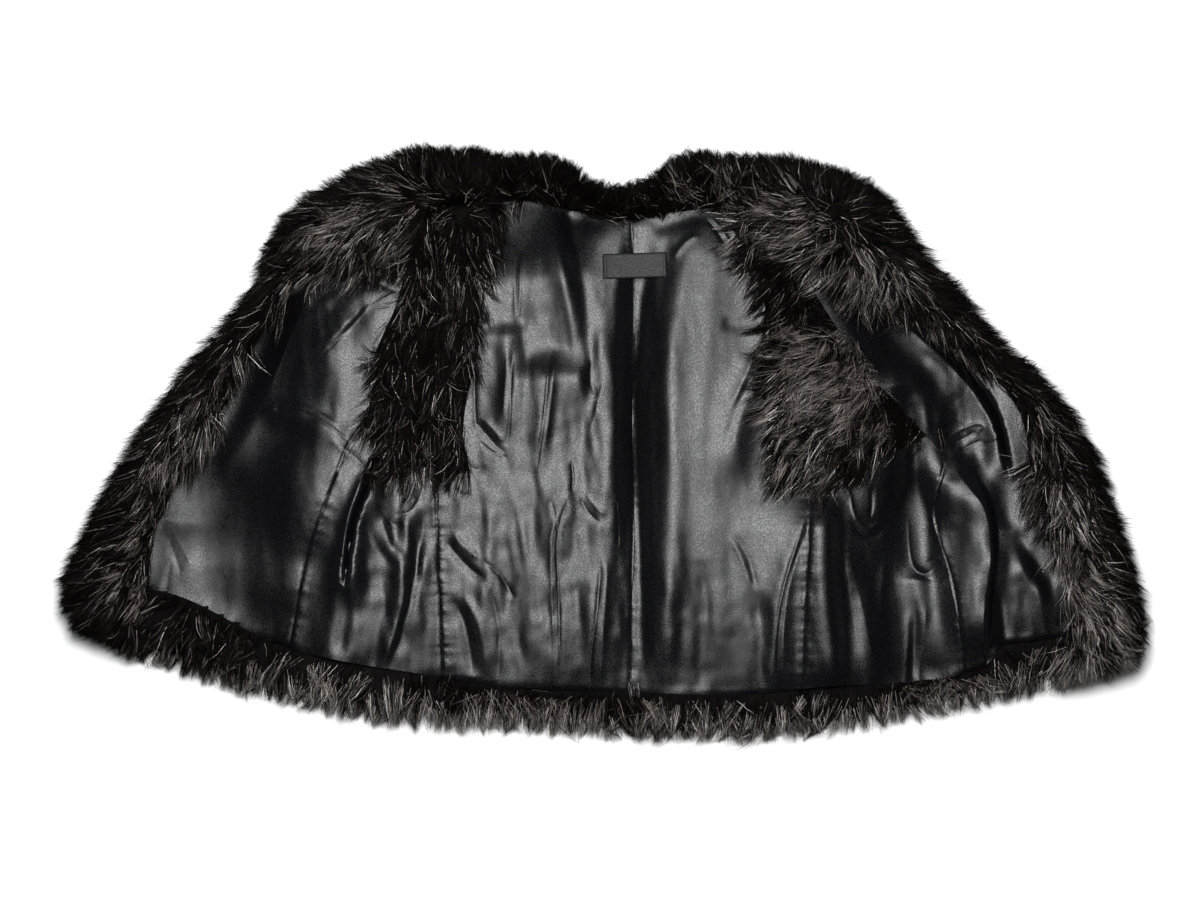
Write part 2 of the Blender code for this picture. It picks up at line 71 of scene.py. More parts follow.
# The rasters that hold heights over the floor.
CELL = 2.0 * MM
RASTER_X = (-0.56, 0.56)
RASTER_Y = (-0.33, 0.33)
REACH_CELL = 4.0 * MM
NOTHING = -1.0

# The lining.
SATIN_STEP = 2.9 * MM
SATIN_THICK = 1.1 * MM
CLOTH_BLUR = 6.5 * MM
CAD_LINING = 1.6 * MM
CREASE_STEP = 1.9 * MM  # between places along a thin crease
CREASE_ROWS = (0.0, -1.1, 1.1, -2.3, 2.3)  # mm to its side
CREASE_GAP = 1.0 * MM
CLEAR_OF = 0.62  # how far places of one kind stay from others, in steps
FINE_CLEAR_OF = 0.5
FACES_UP = 0.35  # the upper face of a lining node has normals that rise at least this much
LOW_AROUND = ((0, 0), (3, 0), (-3, 0), (0, 3), (0, -3))  # mm: the underside lies below all of these places
WELD = 1e-6

# The fur.
SKIN_FLAT = 0.87  # height of the skin under the hair, as a share of the solid's
SKIN_DRAWN = 13.0 * MM  # how far in the skin ends under the outermost tips
SKIN_DRAWN_FROM = 40.0 * MM
INTO_HOLE = 10.0 * MM  # how far fur presses into an armhole
INTO_HOLE_FROM = 26.0 * MM
SKIN_VOXEL, SLAB_VOXEL = 4.6 * MM, 7.5 * MM
LUMP_HEIGHT, LUMP_FROM = 1.3 * MM, 8 * MM
SLAB_LUMPS = 0.4
UNDER_SATIN = 1.2 * MM
ROOTS_FROM = 1.5 * MM  # hair grows above this height
ROOTS_UP = -0.35  # and where the skin's normal rises at least this much
LINING_HIDES = 0.86  # no hair grows under the lining, where its share round a place is more than this
FUR_HIDES = 5 * MM  # or this far under other fur
HIDDEN_FROM = 26 * MM  # hair within this of the outline grows in any case
RIM_DENSE = 30 * MM
BY_HOLE = 15 * MM  # hair that starts this near an armhole hangs into it; on the slabs it is all of the darkest kind, painted shade in the hole
HIGHEST = CAD_BOX[1][2] + 8.0 * MM
LOWEST = 0.9 * MM


def from_photo(px, py):
    """The place on the floor, in metres, under a pixel of the photograph."""
    return (px - PHOTO_ZERO[0]) * PIXEL, (PHOTO_ZERO[1] - py) * PIXEL


# Creases: height in mm (a trough is below 0), width in mm to the left and right of the run, and then the run
# down the cloth, as x and y of its places in photo pixels.
CREASES = (
    # left front
    (-1.6, 2.2, 2.2, 372, 302, 352, 326, 322, 356),
    (1.0, 6, 3, 370, 298, 350, 321, 321, 350),
    (1.2, 3, 5, 398, 272, 384, 290, 372, 302),
    (1.8, 3.5, 3, 352, 257, 375, 268, 396, 276, 412, 283),
    (-1.6, 4, 4, 345, 270, 372, 281, 400, 292),
    (1.5, 3.2, 2.4, 305, 300, 292, 330, 280, 360, 270, 385),
    (2.2, 14, 9, 325, 295, 338, 312, 352, 328),
    (-1.3, 3.5, 5, 156, 520, 172, 548, 182, 575),
    (1.2, 4, 4, 164, 515, 182, 545, 192, 566),
    (-1.0, 4, 4, 172, 560, 166, 590, 160, 600),
    (-1.7, 1.6, 1.9, 283, 407, 300, 412, 320, 421, 337, 432, 352, 444),
    (1.5, 4.5, 2.5, 281, 402, 300, 406, 322, 415, 340, 427),
    (2.4, 4, 4, 262, 408, 268, 410, 276, 408),
    (1.6, 6, 4, 330, 440, 348, 452, 368, 470),
    # left side
    (-8.0, 2.2, 2.0, 372, 472, 362, 500, 355, 520, 349, 555, 346, 587),
    (2.6, 5, 3, 366, 470, 356, 498, 349, 520, 343, 556),
    (-2.2, 7, 6, 347, 580, 345, 620, 340, 655),
    (2.4, 2.6, 3.2, 420, 462, 415, 482, 409, 499, 400, 508),
    (-2.2, 3, 5, 427, 470, 421, 495, 410, 512, 396, 515),
    (-3.2, 6, 6, 364, 520, 376, 545, 393, 565, 404, 574),
    (1.8, 7, 5, 380, 520, 392, 545, 408, 560),
    (-3.6, 7, 5, 424, 520, 418, 560, 410, 600, 400, 640, 388, 672),
    (2.2, 5, 5, 414, 560, 406, 600, 394, 640, 380, 676),
    (2.0, 8, 8, 372, 590, 366, 630, 360, 668),
    (-1.8, 6, 6, 384, 600, 380, 640, 372, 672),
    (-1.8, 4, 4, 380, 505, 392, 524, 405, 524),
    # back, left of the centre seam
    (-3.0, 4, 3, 476, 280, 472, 330, 474, 380, 476, 440),
    (1.5, 2, 2.4, 521, 250, 520, 280, 519, 318),
    (-1.4, 4, 2, 516, 255, 515, 290, 515, 320),
    (1.8, 3.5, 3.5, 478, 322, 484, 324, 491, 319),
    (-2.4, 4, 4, 474, 420, 484, 432, 496, 446, 506, 455),
    (1.8, 4, 4, 480, 416, 492, 428, 504, 443),
    (-1.8, 3, 3, 480, 442, 492, 452, 508, 458),
    (-1.6, 5, 4, 463, 462, 476, 470, 486, 466),
    (-1.6, 4, 3, 454, 488, 464, 496, 470, 492),
    (-2.2, 3, 2.5, 513, 350, 511, 385, 510, 420, 506, 448),
    (1.5, 5, 3, 508, 350, 505, 385, 503, 420),
    (-2.8, 3, 2.4, 550, 350, 546, 400, 541, 440, 537, 470),
    (1.8, 3, 5, 555, 350, 551, 400, 546, 445),
    (-3.0, 2.4, 2.4, 571, 460, 573, 476, 572, 492),
    (-2.4, 2.4, 2.2, 571, 494, 563, 515, 558, 535, 557, 560, 559, 600, 561, 690),
    (1.6, 5, 2.5, 565, 500, 553, 530, 551, 560, 553, 620, 555, 685),
    (-1.6, 2.2, 2.2, 551, 500, 555, 517, 558, 535),
    (-2.0, 4, 3, 580, 498, 588, 512, 601, 524),
    (1.5, 3, 4, 586, 494, 594, 506, 606, 517),
    (-2.6, 3, 2.6, 601, 562, 597, 610, 592, 650, 590, 690),
    (1.8, 4, 4, 608, 562, 604, 620, 600, 688),
    (-2.4, 3, 2.4, 616, 500, 618, 522, 618, 548),
    (-2.0, 3.5, 3, 483, 560, 500, 575, 516, 600),
    (-3.4, 6, 4.5, 446, 540, 458, 556, 474, 572, 486, 580),
    (2.0, 5, 4, 452, 532, 466, 548, 482, 560),
    (-3.6, 6, 5, 452, 596, 464, 622, 470, 648, 474, 676),
    (2.4, 5, 5, 462, 592, 476, 616, 484, 645, 487, 676),
    (-2.0, 4, 4, 490, 588, 497, 615, 500, 650, 498, 680),
    (1.3, 4, 3, 602, 385, 596, 410, 590, 430),
    (-1.4, 4, 3, 592, 360, 590, 380, 598, 398),
    # centre and right of it
    (2.4, 3, 4, 644, 340, 641, 400, 639, 450, 641, 480),
    (-3.0, 10, 8, 540, 196, 575, 214, 610, 216),
    (-3.0, 8, 9, 650, 226, 690, 216, 712, 210),
    (2.0, 4, 5, 700, 232, 686, 240, 672, 258),
    (2.2, 2.2, 1.8, 711, 214, 722, 226, 732, 242, 744, 258),
    (-2.6, 2.5, 3.5, 707, 216, 718, 230, 728, 246),
    (1.8, 4, 4, 724, 220, 738, 234, 748, 246),
    (-2.2, 6, 5, 765, 345, 752, 380, 738, 405, 730, 430, 727, 450),
    (1.6, 5, 4, 756, 350, 744, 380, 730, 410),
    (-1.8, 7, 6, 722, 322, 740, 324, 758, 320),
    (-1.8, 3, 3, 783, 455, 786, 480, 784, 502),
    (-1.4, 4, 4, 736, 535, 748, 560, 756, 588),
    (1.3, 4, 4, 728, 535, 742, 562, 750, 590),
    (-2.8, 3, 2.2, 804, 520, 796, 545, 786, 575, 778, 610, 774, 650, 773, 697),
    (2.0, 2.6, 6, 808, 524, 792, 570, 784, 610, 781, 650, 780, 694),
    (-2.6, 9, 10, 700, 560, 702, 610, 700, 690),
    (-2.2, 7, 8, 672, 590, 680, 630, 676, 690),
    (-2.4, 7, 8, 756, 590, 760, 640, 756, 692),
    (1.6, 5, 5, 762, 290, 764, 300, 760, 310),
    # right side
    (2.2, 2.4, 2.2, 850, 488, 852, 508, 858, 522, 868, 529, 880, 521),
    (-2.8, 3.6, 3, 850, 520, 860, 533, 872, 537, 884, 529),
    (-3.4, 3, 2.4, 872, 486, 872, 505, 870, 518),
    (0.6, 3, 3, 846, 545, 854, 580, 862, 612, 870, 650, 877, 690),
    (-0.7, 5, 3, 840, 545, 848, 590, 856, 640, 864, 690),
    (1.8, 5, 5, 884, 560, 880, 600, 878, 640),
    (1.6, 4, 4, 908, 610, 907, 650, 904, 686),
    (1.5, 4, 4, 926, 604, 922, 640, 918, 682),
    (-2.0, 5, 4, 916, 600, 914, 640, 911, 684),
    (-11, 18, 13, 902, 385, 911, 440, 915, 480, 917, 530, 918, 580),
    (2.4, 2, 2.2, 909, 515, 910, 545, 914, 566, 924, 573, 934, 568),
    (1.6, 2.5, 2.5, 926, 562, 938, 558, 944, 566),
    (-1.6, 2.5, 2.5, 922, 578, 936, 580, 946, 576),
    (2.2, 3, 3, 930, 512, 938, 532, 945, 556),
    # right front
    (2.4, 5, 2.2, 954, 468, 972, 492, 984, 512, 990, 545, 985, 590, 981, 630, 984, 668),
    (-2.6, 2, 6, 975, 470, 993, 505, 997, 545, 992, 590, 988, 640),
    (2.4, 9, 7, 1000, 552, 1012, 590, 1020, 632),
    (-2.4, 7, 7, 992, 572, 1000, 606, 1004, 640),
    (2.6, 8, 9, 1014, 556, 1036, 590, 1060, 622),
    (-3.2, 9, 8, 1014, 530, 1034, 562, 1056, 585),
    (-3.6, 12, 12, 1012, 470, 1008, 505, 1004, 530),
    (-9.0, 2.2, 2.0, 905, 303, 925, 325, 943, 346, 962, 364,
     978, 384, 993, 408, 1001, 430, 1006, 455, 1010, 478),
    (1.6, 3, 8, 915, 300, 935, 324, 955, 342, 976, 364, 992, 388, 1006, 412),
    (2.4, 6, 3, 900, 315, 918, 333, 940, 353, 958, 372, 974, 392, 986, 416),
    (2.0, 8, 8, 872, 312, 890, 308, 908, 316),
    (1.8, 7, 6, 925, 350, 945, 372, 958, 398),
    (-1.8, 1.8, 1.8, 951, 459, 962, 451, 972, 444, 984, 439),
    (1.8, 2.2, 2.2, 984, 441, 994, 439, 1000, 434),
    (1.8, 3, 2.4, 948, 437, 960, 430, 975, 423, 984, 425, 976, 434),
    (-2.0, 3, 3, 952, 445, 966, 437, 978, 430),
    (1.5, 3, 3, 946, 418, 958, 422, 966, 428),
    (2.4, 8, 9, 950, 475, 948, 500, 952, 530),
    (2.2, 8, 9, 812, 250, 810, 275, 812, 298),
)
CREASE_FADE = 0.22  # the share of a run over which its ends fade out
CREASE_BELL = 0.9
CREASE_GAIN = 0.5
CLEFT_FROM = -7.0  # a trough deeper than this, in mm, keeps its own size
THIN_GAIN, THIN_WIDTH = 0.28, 0.5  # of the thinnest creases
THIN_FROM, THIN_TO = 6.0, 3.0  # widths in mm

# Broad scarps, where the satin turns away from the light: drop in mm towards the right of the run, half width
# in mm, reach to the left and right in mm, and then the run down the cloth.
SCARPS = (
    # left front and left side
    (-18.0, 62, 400, 110, 308, 225, 294, 320, 284, 400, 276, 450, 270, 500, 268, 570),
    (-9.0, 33, 60, 90, 222, 430, 222, 480, 226, 520, 236, 570, 244, 630),
    (-11.0, 34, 400, 80, 258, 420, 266, 480, 276, 560, 284, 640, 292, 730),
    (-6.0, 15, 80, 46, 306, 235, 290, 312, 264, 368, 240, 420, 208, 470, 180, 505),
    (-7.0, 19, 45, 45, 334, 530, 328, 590, 321, 655, 318, 700),
    (3.4, 8, 24, 24, 420, 490, 413, 560, 404, 620, 392, 672),
    # back
    (11.0, 36, 70, 60, 430, 252, 515, 254, 560, 250, 612, 240),
    (6.5, 11, 40, 40, 556, 175, 566, 240, 574, 290, 584, 350, 594, 425),
    (6.2, 20, 60, 60, 500, 363, 528, 366, 560, 363, 598, 367),
    (2.5, 10, 30, 30, 456, 326, 495, 330, 540, 325),
    (6.0, 9.5, 60, 30, 627, 205, 625, 300, 624, 400, 625, 500, 629, 570),
    (-5.4, 7.6, 30, 70, 656, 212, 650, 290, 643, 360, 642, 430, 644, 510, 647, 600, 644, 720),
    (-5.0, 16, 40, 60, 692, 210, 678, 250, 668, 290, 660, 340, 655, 390),
    # right side and right front
    (5.0, 10, 110, 110, 834, 480, 835, 560, 837, 620, 840, 720),
    (22.0, 50, 90, 90, 872, 470, 880, 560, 887, 640, 890, 720),
    (-4.0, 12, 60, 60, 932, 540, 936, 580, 940, 640, 944, 710),
    (25.0, 44, 90, 80, 852, 235, 898, 335, 922, 385, 928, 430, 928, 500),
    (16.0, 34, 60, 60, 800, 205, 824, 258, 842, 300, 864, 348, 892, 396),
    (-8.0, 26, 50, 50, 970, 310, 988, 365, 1000, 420, 992, 490),
    (3.6, 4, 30, 30, 966, 460, 988, 505, 994, 545, 990, 590, 986, 640, 986, 680),
)
HEM_DROOP = 3.4 * MM
HEM_DROOP_FROM = 585.0  # photo pixels down the picture
HEM_DROOP_OVER = 100.0
HEM_DROOP_POWER = 1.5
NECK_DIP = 5.0 * MM
NECK_RUN = (480, 192, 560, 192, 632, 196, 700, 190, 750, 196)
NECK_DIP_REACH = 24 * MM

# Seams of the lining, each a groove, three of them with their stitching drawn in: the pucker in mm to its
# left and right, then its run.
SEAMS = {
    "centre_back": (0.25, 0.35, 631, 205, 634, 300, 633, 400, 633, 520, 631, 600, 630, 692),
    "left_side": (0.25, 0.65, 436, 462, 437, 520, 439, 580, 442, 630, 444, 678),
    "right_side": (0.5, 0.55, 811, 484, 810, 510, 808, 540, 806, 580, 804, 620, 802, 692),
    "left_panel": (0.2, 0.5, 368, 420, 350, 443, 335, 480, 322, 515, 310, 550, 300, 600, 290, 650),
    "right_panel": (0.3, 0.3, 945, 462, 936, 500, 938, 530, 950, 575, 955, 600, 960, 640, 965, 676),
}
SATIN_FLOOR, SATIN_EASE = 4.0 * MM, 5.0 * MM  # the lowest that a hollow reaches, and how softly
SEAM_GROOVE = 0.6 * MM
SEAM_HALF = 1.1 * MM
SEAM_END = 3 * MM  # over which a groove begins and ends
SEAM_RIDGE = 0.25 * MM  # on both sides of the groove, this far from it
SEAM_RIDGE_AT = 2.4 * MM
SEAM_RIDGE_HALF = 1.2 * MM
SEAM_SEED = 40
PUCKER_PITCH = 7.5 * MM
PUCKER_LONG = 0.02  # in metres
PUCKER_SQUASH = 0.4
PUCKER_FROM = 2 * MM
PUCKER_REACH = 8.0 * MM

HEM_RUN = (
    148, 590, 200, 617, 260, 638, 290, 648, 310, 660, 340, 671, 380, 679, 443, 678, 500, 687,
    560, 690, 631, 692, 672, 698, 700, 697, 773, 693, 838, 691, 905, 690, 940, 682, 962, 674,
    984, 665, 985, 649, 1010, 643, 1040, 640, 1065, 636,
)

HEM_GROOVE, HEM_GROOVE_REACH = 1.8 * MM, 2.2 * MM
HEM_PLEAT, HEM_PLEAT_REACH = 0.9 * MM, 16 * MM

# How crumpled the satin is, and where: photo pixel, reach in pixels, strength added.
CRUMPLED = (
    (385, 560, 60, 90, 0.9),  # left side
    (520, 480, 60, 160, 0.6),  # back left
    (560, 620, 90, 80, 0.7),  # back left low
    (730, 640, 80, 60, 0.6),  # back right low
    (880, 590, 60, 90, 0.12),  # right side
    (1020, 590, 50, 70, 0.6),  # right front low
    (340, 330, 50, 60, 0.5),  # chest left
    (950, 420, 45, 50, 0.8),  # chest right
    (600, 420, 40, 150, 0.5),  # centre
)
SMOOTH_SATIN = 0.2

# Layers of noise: strength, size across and down the cloth in metres, turn in degrees, and seed.
LONG_FOLDS = ((1.3, 0.019, 0.150, 3, 11), (0.8, 0.010, 0.075, -5, 12))
SHORT_FOLDS = ((0.45, 0.006, 0.030, 9, 13), (0.35, 0.016, 0.011, 24, 14))
FINE_FOLDS = ((0.14, 0.0036, 0.012, -12, 15),)
HEM_PLEATS = ((1.0, 0.013, 0.05, 0, 61), (0.6, 0.006, 0.05, 0, 62))
LUMPS, SMALL_LUMPS = ((1.0, 0.011, 0.011, 20, 71),), ((1.0, 0.006, 0.006, 50, 72),)
LOCK_WAVES = ((1.0, 0.030, 0.030, 10, 81),)
PALE_PATCHES = ((1.0, 0.020, 0.020, 30, 83),)
LABEL_WAVES = ((1.0, 0.016, 0.03, 0, 91),)

# Which way the hair lies: photo pixel, heading in degrees (0 is right, 90 is up the picture), and rise off
# the skin in degrees.
COMB = (
    (62, 600, 205, 12), (80, 545, 195, 16), (75, 630, 225, 10), (110, 655, 245, 10), (110, 500, 196, 18),
    (112, 570, 208, 30), (150, 560, 225, 34), (150, 480, 232, 34), (185, 440, 240, 34), (215, 410, 250, 30),
    (150, 400, 198, 16), (170, 425, 225, 32), (205, 335, 200, 16), (230, 370, 238, 34), (255, 345, 250, 26),
    (250, 285, 196, 16), (262, 310, 226, 34), (290, 290, 238, 28), (262, 245, 190, 16), (285, 235, 190, 34),
    (290, 205, 175, 16), (320, 215, 186, 38), (330, 250, 205, 32), (345, 165, 150, 16), (350, 190, 172, 38),
    (360, 225, 200, 34), (370, 245, 250, 26), (395, 148, 118, 14), (400, 180, 150, 36), (405, 220, 235, 30),
    (440, 140, 92, 14), (440, 180, 110, 34), (440, 225, 255, 30), (488, 218, 300, 26), (490, 245, 290, 22),
    (480, 150, 68, 16), (475, 190, 80, 30), (480, 230, 262, 24), (520, 150, 98, 14), (525, 185, 90, 26),
    (560, 150, 82, 14), (565, 180, 80, 26), (592, 165, 55, 14), (598, 190, 25, 20), (617, 190, 95, 16),
    (640, 165, 128, 14), (645, 190, 130, 22), (675, 152, 106, 14), (690, 180, 100, 26), (740, 152, 88, 14),
    (740, 185, 95, 26), (790, 158, 70, 14), (790, 188, 102, 28), (835, 170, 62, 14), (812, 192, 98, 30),
    (838, 196, 62, 22), (875, 195, 46, 14), (846, 212, 350, 22), (864, 218, 20, 22), (905, 235, 34, 14),
    (868, 236, 322, 40), (885, 240, 356, 34), (900, 262, 335, 30), (768, 196, 128, 24), (790, 210, 164, 30),
    (812, 219, 190, 40), (832, 232, 212, 40), (852, 248, 240, 36), (872, 262, 264, 32), (890, 280, 276, 28),
    (810, 245, 216, 26), (826, 272, 240, 20), (850, 276, 256, 22), (900, 300, 290, 24), (950, 285, 24, 14),
    (935, 310, 320, 34), (1000, 335, 14, 14), (985, 350, 312, 34), (1045, 380, 6, 14), (1030, 400, 308, 34),
    (1088, 430, 2, 14), (1060, 440, 300, 34), (1040, 470, 252, 26), (1050, 505, 258, 26),
    (1112, 500, 352, 14), (1085, 500, 312, 34), (1066, 540, 275, 30), (1128, 560, 346, 14),
    (1100, 580, 318, 34), (1072, 600, 285, 30), (1140, 630, 336, 12), (1110, 650, 310, 30),
    (1120, 680, 300, 10), (1060, 690, 272, 10), (1070, 655, 268, 22), (1000, 692, 264, 10),
    (385, 300, 248, 26), (395, 350, 252, 28), (392, 420, 250, 28), (385, 475, 246, 22), (425, 300, 262, 28),
    (440, 360, 268, 28), (428, 420, 262, 28), (425, 470, 268, 22), (460, 280, 285, 24), (460, 340, 276, 24),
    (765, 225, 238, 22), (785, 260, 248, 24), (790, 300, 242, 24), (800, 335, 205, 30), (780, 370, 215, 32),
    (775, 420, 226, 30), (835, 360, 214, 34), (830, 420, 224, 34), (800, 460, 236, 28), (835, 485, 246, 24),
    (868, 420, 222, 30), (870, 460, 245, 24), (170, 660, 254, 8), (240, 690, 260, 8), (320, 715, 262, 8),
    (390, 735, 256, 8), (450, 728, 274, 8), (520, 728, 268, 8), (600, 735, 270, 8), (680, 735, 266, 8),
    (750, 745, 272, 8), (830, 738, 266, 8), (880, 740, 275, 8), (930, 720, 284, 8), (970, 705, 290, 8),
)
COMB_POWER = 3.0
COMB_SOFT = 3 * MM

# Fur by CAD node: strands, and length in mm.
FURS = {
    "fur_facing_left": (33000, 44),
    "fur_facing_right": (33000, 44),
    "fur_facing_neck": (14000, 38),
    "fur_armhole_left_front": (7000, 36),
    "fur_armhole_left_back": (7500, 36),
    "fur_armhole_right_back": (6500, 34),
    "fur_underarm_right": (12000, 40),
    "fur_front_left": (11500, 44),
    "fur_back": (14000, 46),
    "fur_front_right": (10500, 44),
}

# How many of the hairs are pale, place by place: photo pixel and multiple of the usual share. These are
# partly the fur's own pale hairs and partly painted highlights where the light catches the fur; the lowest
# values are painted shade, as in the dark gap by the right shoulder.
PALE_HAIRS_AND_PAINTED_LIGHT = (
    (80, 600, 0.5), (100, 560, 0.9), (110, 490, 0.6), (150, 450, 0.9), (190, 400, 1.0), (215, 360, 0.5),
    (250, 310, 0.4), (290, 240, 1.6), (300, 210, 1.4), (350, 190, 1.5), (350, 230, 1.3), (400, 170, 1.2),
    (400, 230, 0.6), (440, 170, 0.4), (470, 190, 0.1), (450, 140, 0.5), (440, 250, 0.4), (400, 330, 0.12),
    (390, 420, 0.15), (430, 330, 0.2), (430, 420, 0.2), (425, 460, 0.5), (460, 300, 0.2), (520, 160, 0.7),
    (530, 190, 0.3), (570, 150, 0.7), (600, 185, 0.6), (650, 180, 0.7), (720, 160, 1.3), (760, 190, 1.4),
    (800, 180, 1.2), (800, 230, 1.4), (830, 250, 1.2), (860, 220, 0.9), (880, 260, 0.9), (920, 260, 0.5),
    (950, 310, 0.4), (1000, 360, 0.5), (1040, 410, 0.6), (1080, 440, 0.8), (1050, 480, 1.3),
    (1080, 500, 1.6), (1110, 540, 1.8), (1090, 580, 4.0), (1100, 640, 3.4), (1130, 620, 1.0),
    # few pale hairs in the deep gap by the right shoulder: painted shade
    (1130, 680, 0.4), (1070, 620, 1.7), (1040, 670, 0.9), (775, 260, 0.02), (775, 300, 0.1),
    (800, 330, 2.4), (805, 380, 3.6), (845, 380, 3.6), (835, 430, 3.0), (773, 350, 0.3), (773, 390, 0.3),
    (776, 430, 0.4), (785, 465, 0.6), (790, 255, 0.3), (815, 470, 1.5), (870, 460, 0.3), (880, 420, 0.8),
    (170, 650, 0.7), (250, 680, 1.0), (330, 710, 1.3), (400, 720, 1.5), (480, 715, 1.3), (600, 715, 1.5),
    (700, 720, 1.6), (800, 725, 1.5), (860, 725, 1.2), (940, 705, 1.5),
)
LOCK_STRANDS = 24
LOCK_TURN, STRAND_TURN, LOOSE_TURN = 11, 8, 24  # degrees of scatter
LOCK_LIFT, STRAND_LIFT, LOOSE_LIFT = 7, 7, 12
LOCK_CURL, STRAND_CURL = 28, 14
WHORL_TURN, HOLE_TURN, ROLL = 60, 30, 38
DROOP = math.radians(-14.0)
LOOSE = 0.10  # the share of strands that leave their lock
LOCK_LENGTHS, STRAND_LENGTHS = (0.75, 1.12), (0.62, 1.08)  # shares of the longest, and of the lock's
TOGETHER, LOOSE_TOGETHER = (0.6, 0.92), 0.1  # how far strands close in on the middle of their lock
ROOT_DEPTH = 0.8 * MM
PALE_WIDTHS, DARK_WIDTHS, LOOSE_WIDTH = (0.26, 0.42), (0.48, 0.8), 0.4  # mm
SHORTER = 0.84  # what is left of a strand that reaches past the outline, at each of some tries
SHORTER_TRIES = 5
FALLS_BACK = 1.25  # how much of its rise a strand loses towards its tip
OUTWARD, OUTWARD_PUSH, OUTWARD_FADE = 0.2, 1.1, 0.6  # a strand stays off its skin
STEPS = 3  # stretches of a strand
TAPER = (1.0, 0.92, 0.62)
HAIR_SEED = 500
WHORLS = ((836, 213), (470, 196))  # where the hair parts every way, in photo pixels
WHORL_REACH = 15 * MM
HEM_LIGHT = 2.0  # the hem's hair has up to this many times the usual share of pale hairs, whatever the rim's painted shade
HEM_LIGHT_FROM, HEM_LIGHT_OVER = 620.0, 50.0  # from here down the picture, in pixels
PALE_SHARE, MOST_PALE = 0.24, 0.46
LOCK_PALE = (0.2, 2.2)  # from the darkest lock, and how much more the palest has
PATCH_PALE = (0.35, 1.7)
BROWN_SHARE = (0.02, 2.0)  # of the hairs, and for each pale one
RIM_PAINTED_SHADE = 46 * MM  # fewer of the outermost hairs are pale, from this far in: painted shade where the fur's rim turns away from the light
RISE_GAIN = 0.62
SLABS = ("fur_front_left", "fur_back", "fur_front_right")
LININGS = [
    "lining_" + side
    for side in ("front_left", "side_left", "back_left", "back_right", "front_right", "side_right")
]


# Numbers over the plan: rasters, noise and runs.


def one_tree(pieces):
    """One search tree over these objects."""
    points, faces = [], []
    for piece in pieces:
        first = len(points)
        points += [v.co.copy() for v in piece.data.vertices]
        faces += [[first + i for i in p.vertices] for p in piece.data.polygons]
    return BVHTree.FromPolygons(points, faces)


def sources(names):
    return one_tree([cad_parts[name] for name in names])


def heights_of(tree, cell=CELL):
    """The height of the topmost face over each cell of the plan, or NOTHING."""
    xs = np.arange(RASTER_X[0], RASTER_X[1] + cell / 2, cell)
    ys = np.arange(RASTER_Y[0], RASTER_Y[1] + cell / 2, cell)
    down = Vector((0, 0, -1))
    field = np.full((len(ys), len(xs)), NOTHING)
    for row, y in enumerate(ys):
        for col, x in enumerate(xs):
            hit = tree.ray_cast(Vector((x, y, 1.0)), down)[0]
            if hit is not None:
                field[row, col] = hit.z
    return field


def sample(field, x, y, cell=CELL):
    """The field between its cells, at places in metres."""
    u = ((x - RASTER_X[0]) / cell).clip(0, field.shape[1] - 1.001)
    v = ((y - RASTER_Y[0]) / cell).clip(0, field.shape[0] - 1.001)
    i, j = u.astype(int), v.astype(int)
    fu, fv = u - i, v - j
    low = field[j, i] * (1 - fu) + field[j, i + 1] * fu
    high = field[j + 1, i] * (1 - fu) + field[j + 1, i + 1] * fu
    return low * (1 - fv) + high * fv


def coarse(field, places):
    """A field of the coarse raster under these places."""
    return sample(field, places[:, 0], places[:, 1], REACH_CELL)


def blurred(field, reach, cell=CELL):
    """The field under a bell of this reach, both ways."""
    size = int(3 * reach / cell)
    kernel = np.exp(-0.5 * (np.arange(-size, size + 1) * cell / reach) ** 2)
    kernel /= kernel.sum()
    for axis in (0, 1):
        padded = np.pad(field, [(size, size) if a == axis else (0, 0) for a in (0, 1)], mode="edge")
        length = field.shape[axis]
        field = sum(k * np.take(padded, np.arange(i, i + length), axis=axis) for i, k in enumerate(kernel))
    return field


def filled(field, reach):
    """The heights spread smoothly over cells that have none."""
    known = (field > NOTHING / 2).astype(float)
    total = blurred(np.where(known > 0, field, 0.0), reach)
    weight = blurred(known, reach)
    wide_total = blurred(np.where(known > 0, field, 0.0), 8 * reach)
    wide_weight = blurred(known, 8 * reach)
    wide = wide_total / np.maximum(wide_weight, 1e-9)
    return np.where(weight > 1e-3, total / np.maximum(weight, 1e-9), wide)


def lowest_around(field):
    """The lowest height among each cell and its neighbours."""
    known = np.where(field > NOTHING / 2, field, np.inf)
    low = known.copy()
    for rows in (-1, 0, 1):
        for cols in (-1, 0, 1):
            low = np.minimum(low, np.roll(known, (rows, cols), axis=(0, 1)))
    return np.where(np.isfinite(low), low, 1.0)


def inside_reach(mask, cell):
    """How far inside the mask each cell lies, below 0 outside it."""
    edge = mask.copy()
    edge[1:-1, 1:-1] = mask[1:-1, 1:-1] & ~(
        mask[:-2, 1:-1] & mask[2:, 1:-1] & mask[1:-1, :-2] & mask[1:-1, 2:]
    )
    rows, cols = np.nonzero(edge)
    v, u = np.mgrid[0 : mask.shape[0], 0 : mask.shape[1]]
    nearest = np.full(mask.shape, np.inf)
    for row, col in zip(rows, cols):
        nearest = np.minimum(nearest, (v - row) ** 2 + (u - col) ** 2)
    return np.sqrt(nearest) * cell * np.where(mask, 1, -1)


def open_floor(known):
    """The cells outside the garment's outline, without the armholes."""
    outside = ~known
    reached = np.zeros(known.shape, bool)
    reached[0] = reached[-1] = True
    while True:
        grown = reached.copy()
        grown[1:] |= reached[:-1]
        grown[:-1] |= reached[1:]
        grown[:, 1:] |= reached[:, :-1]
        grown[:, :-1] |= reached[:, 1:]
        grown &= outside
        if (grown == reached).all():
            return reached
        reached = grown


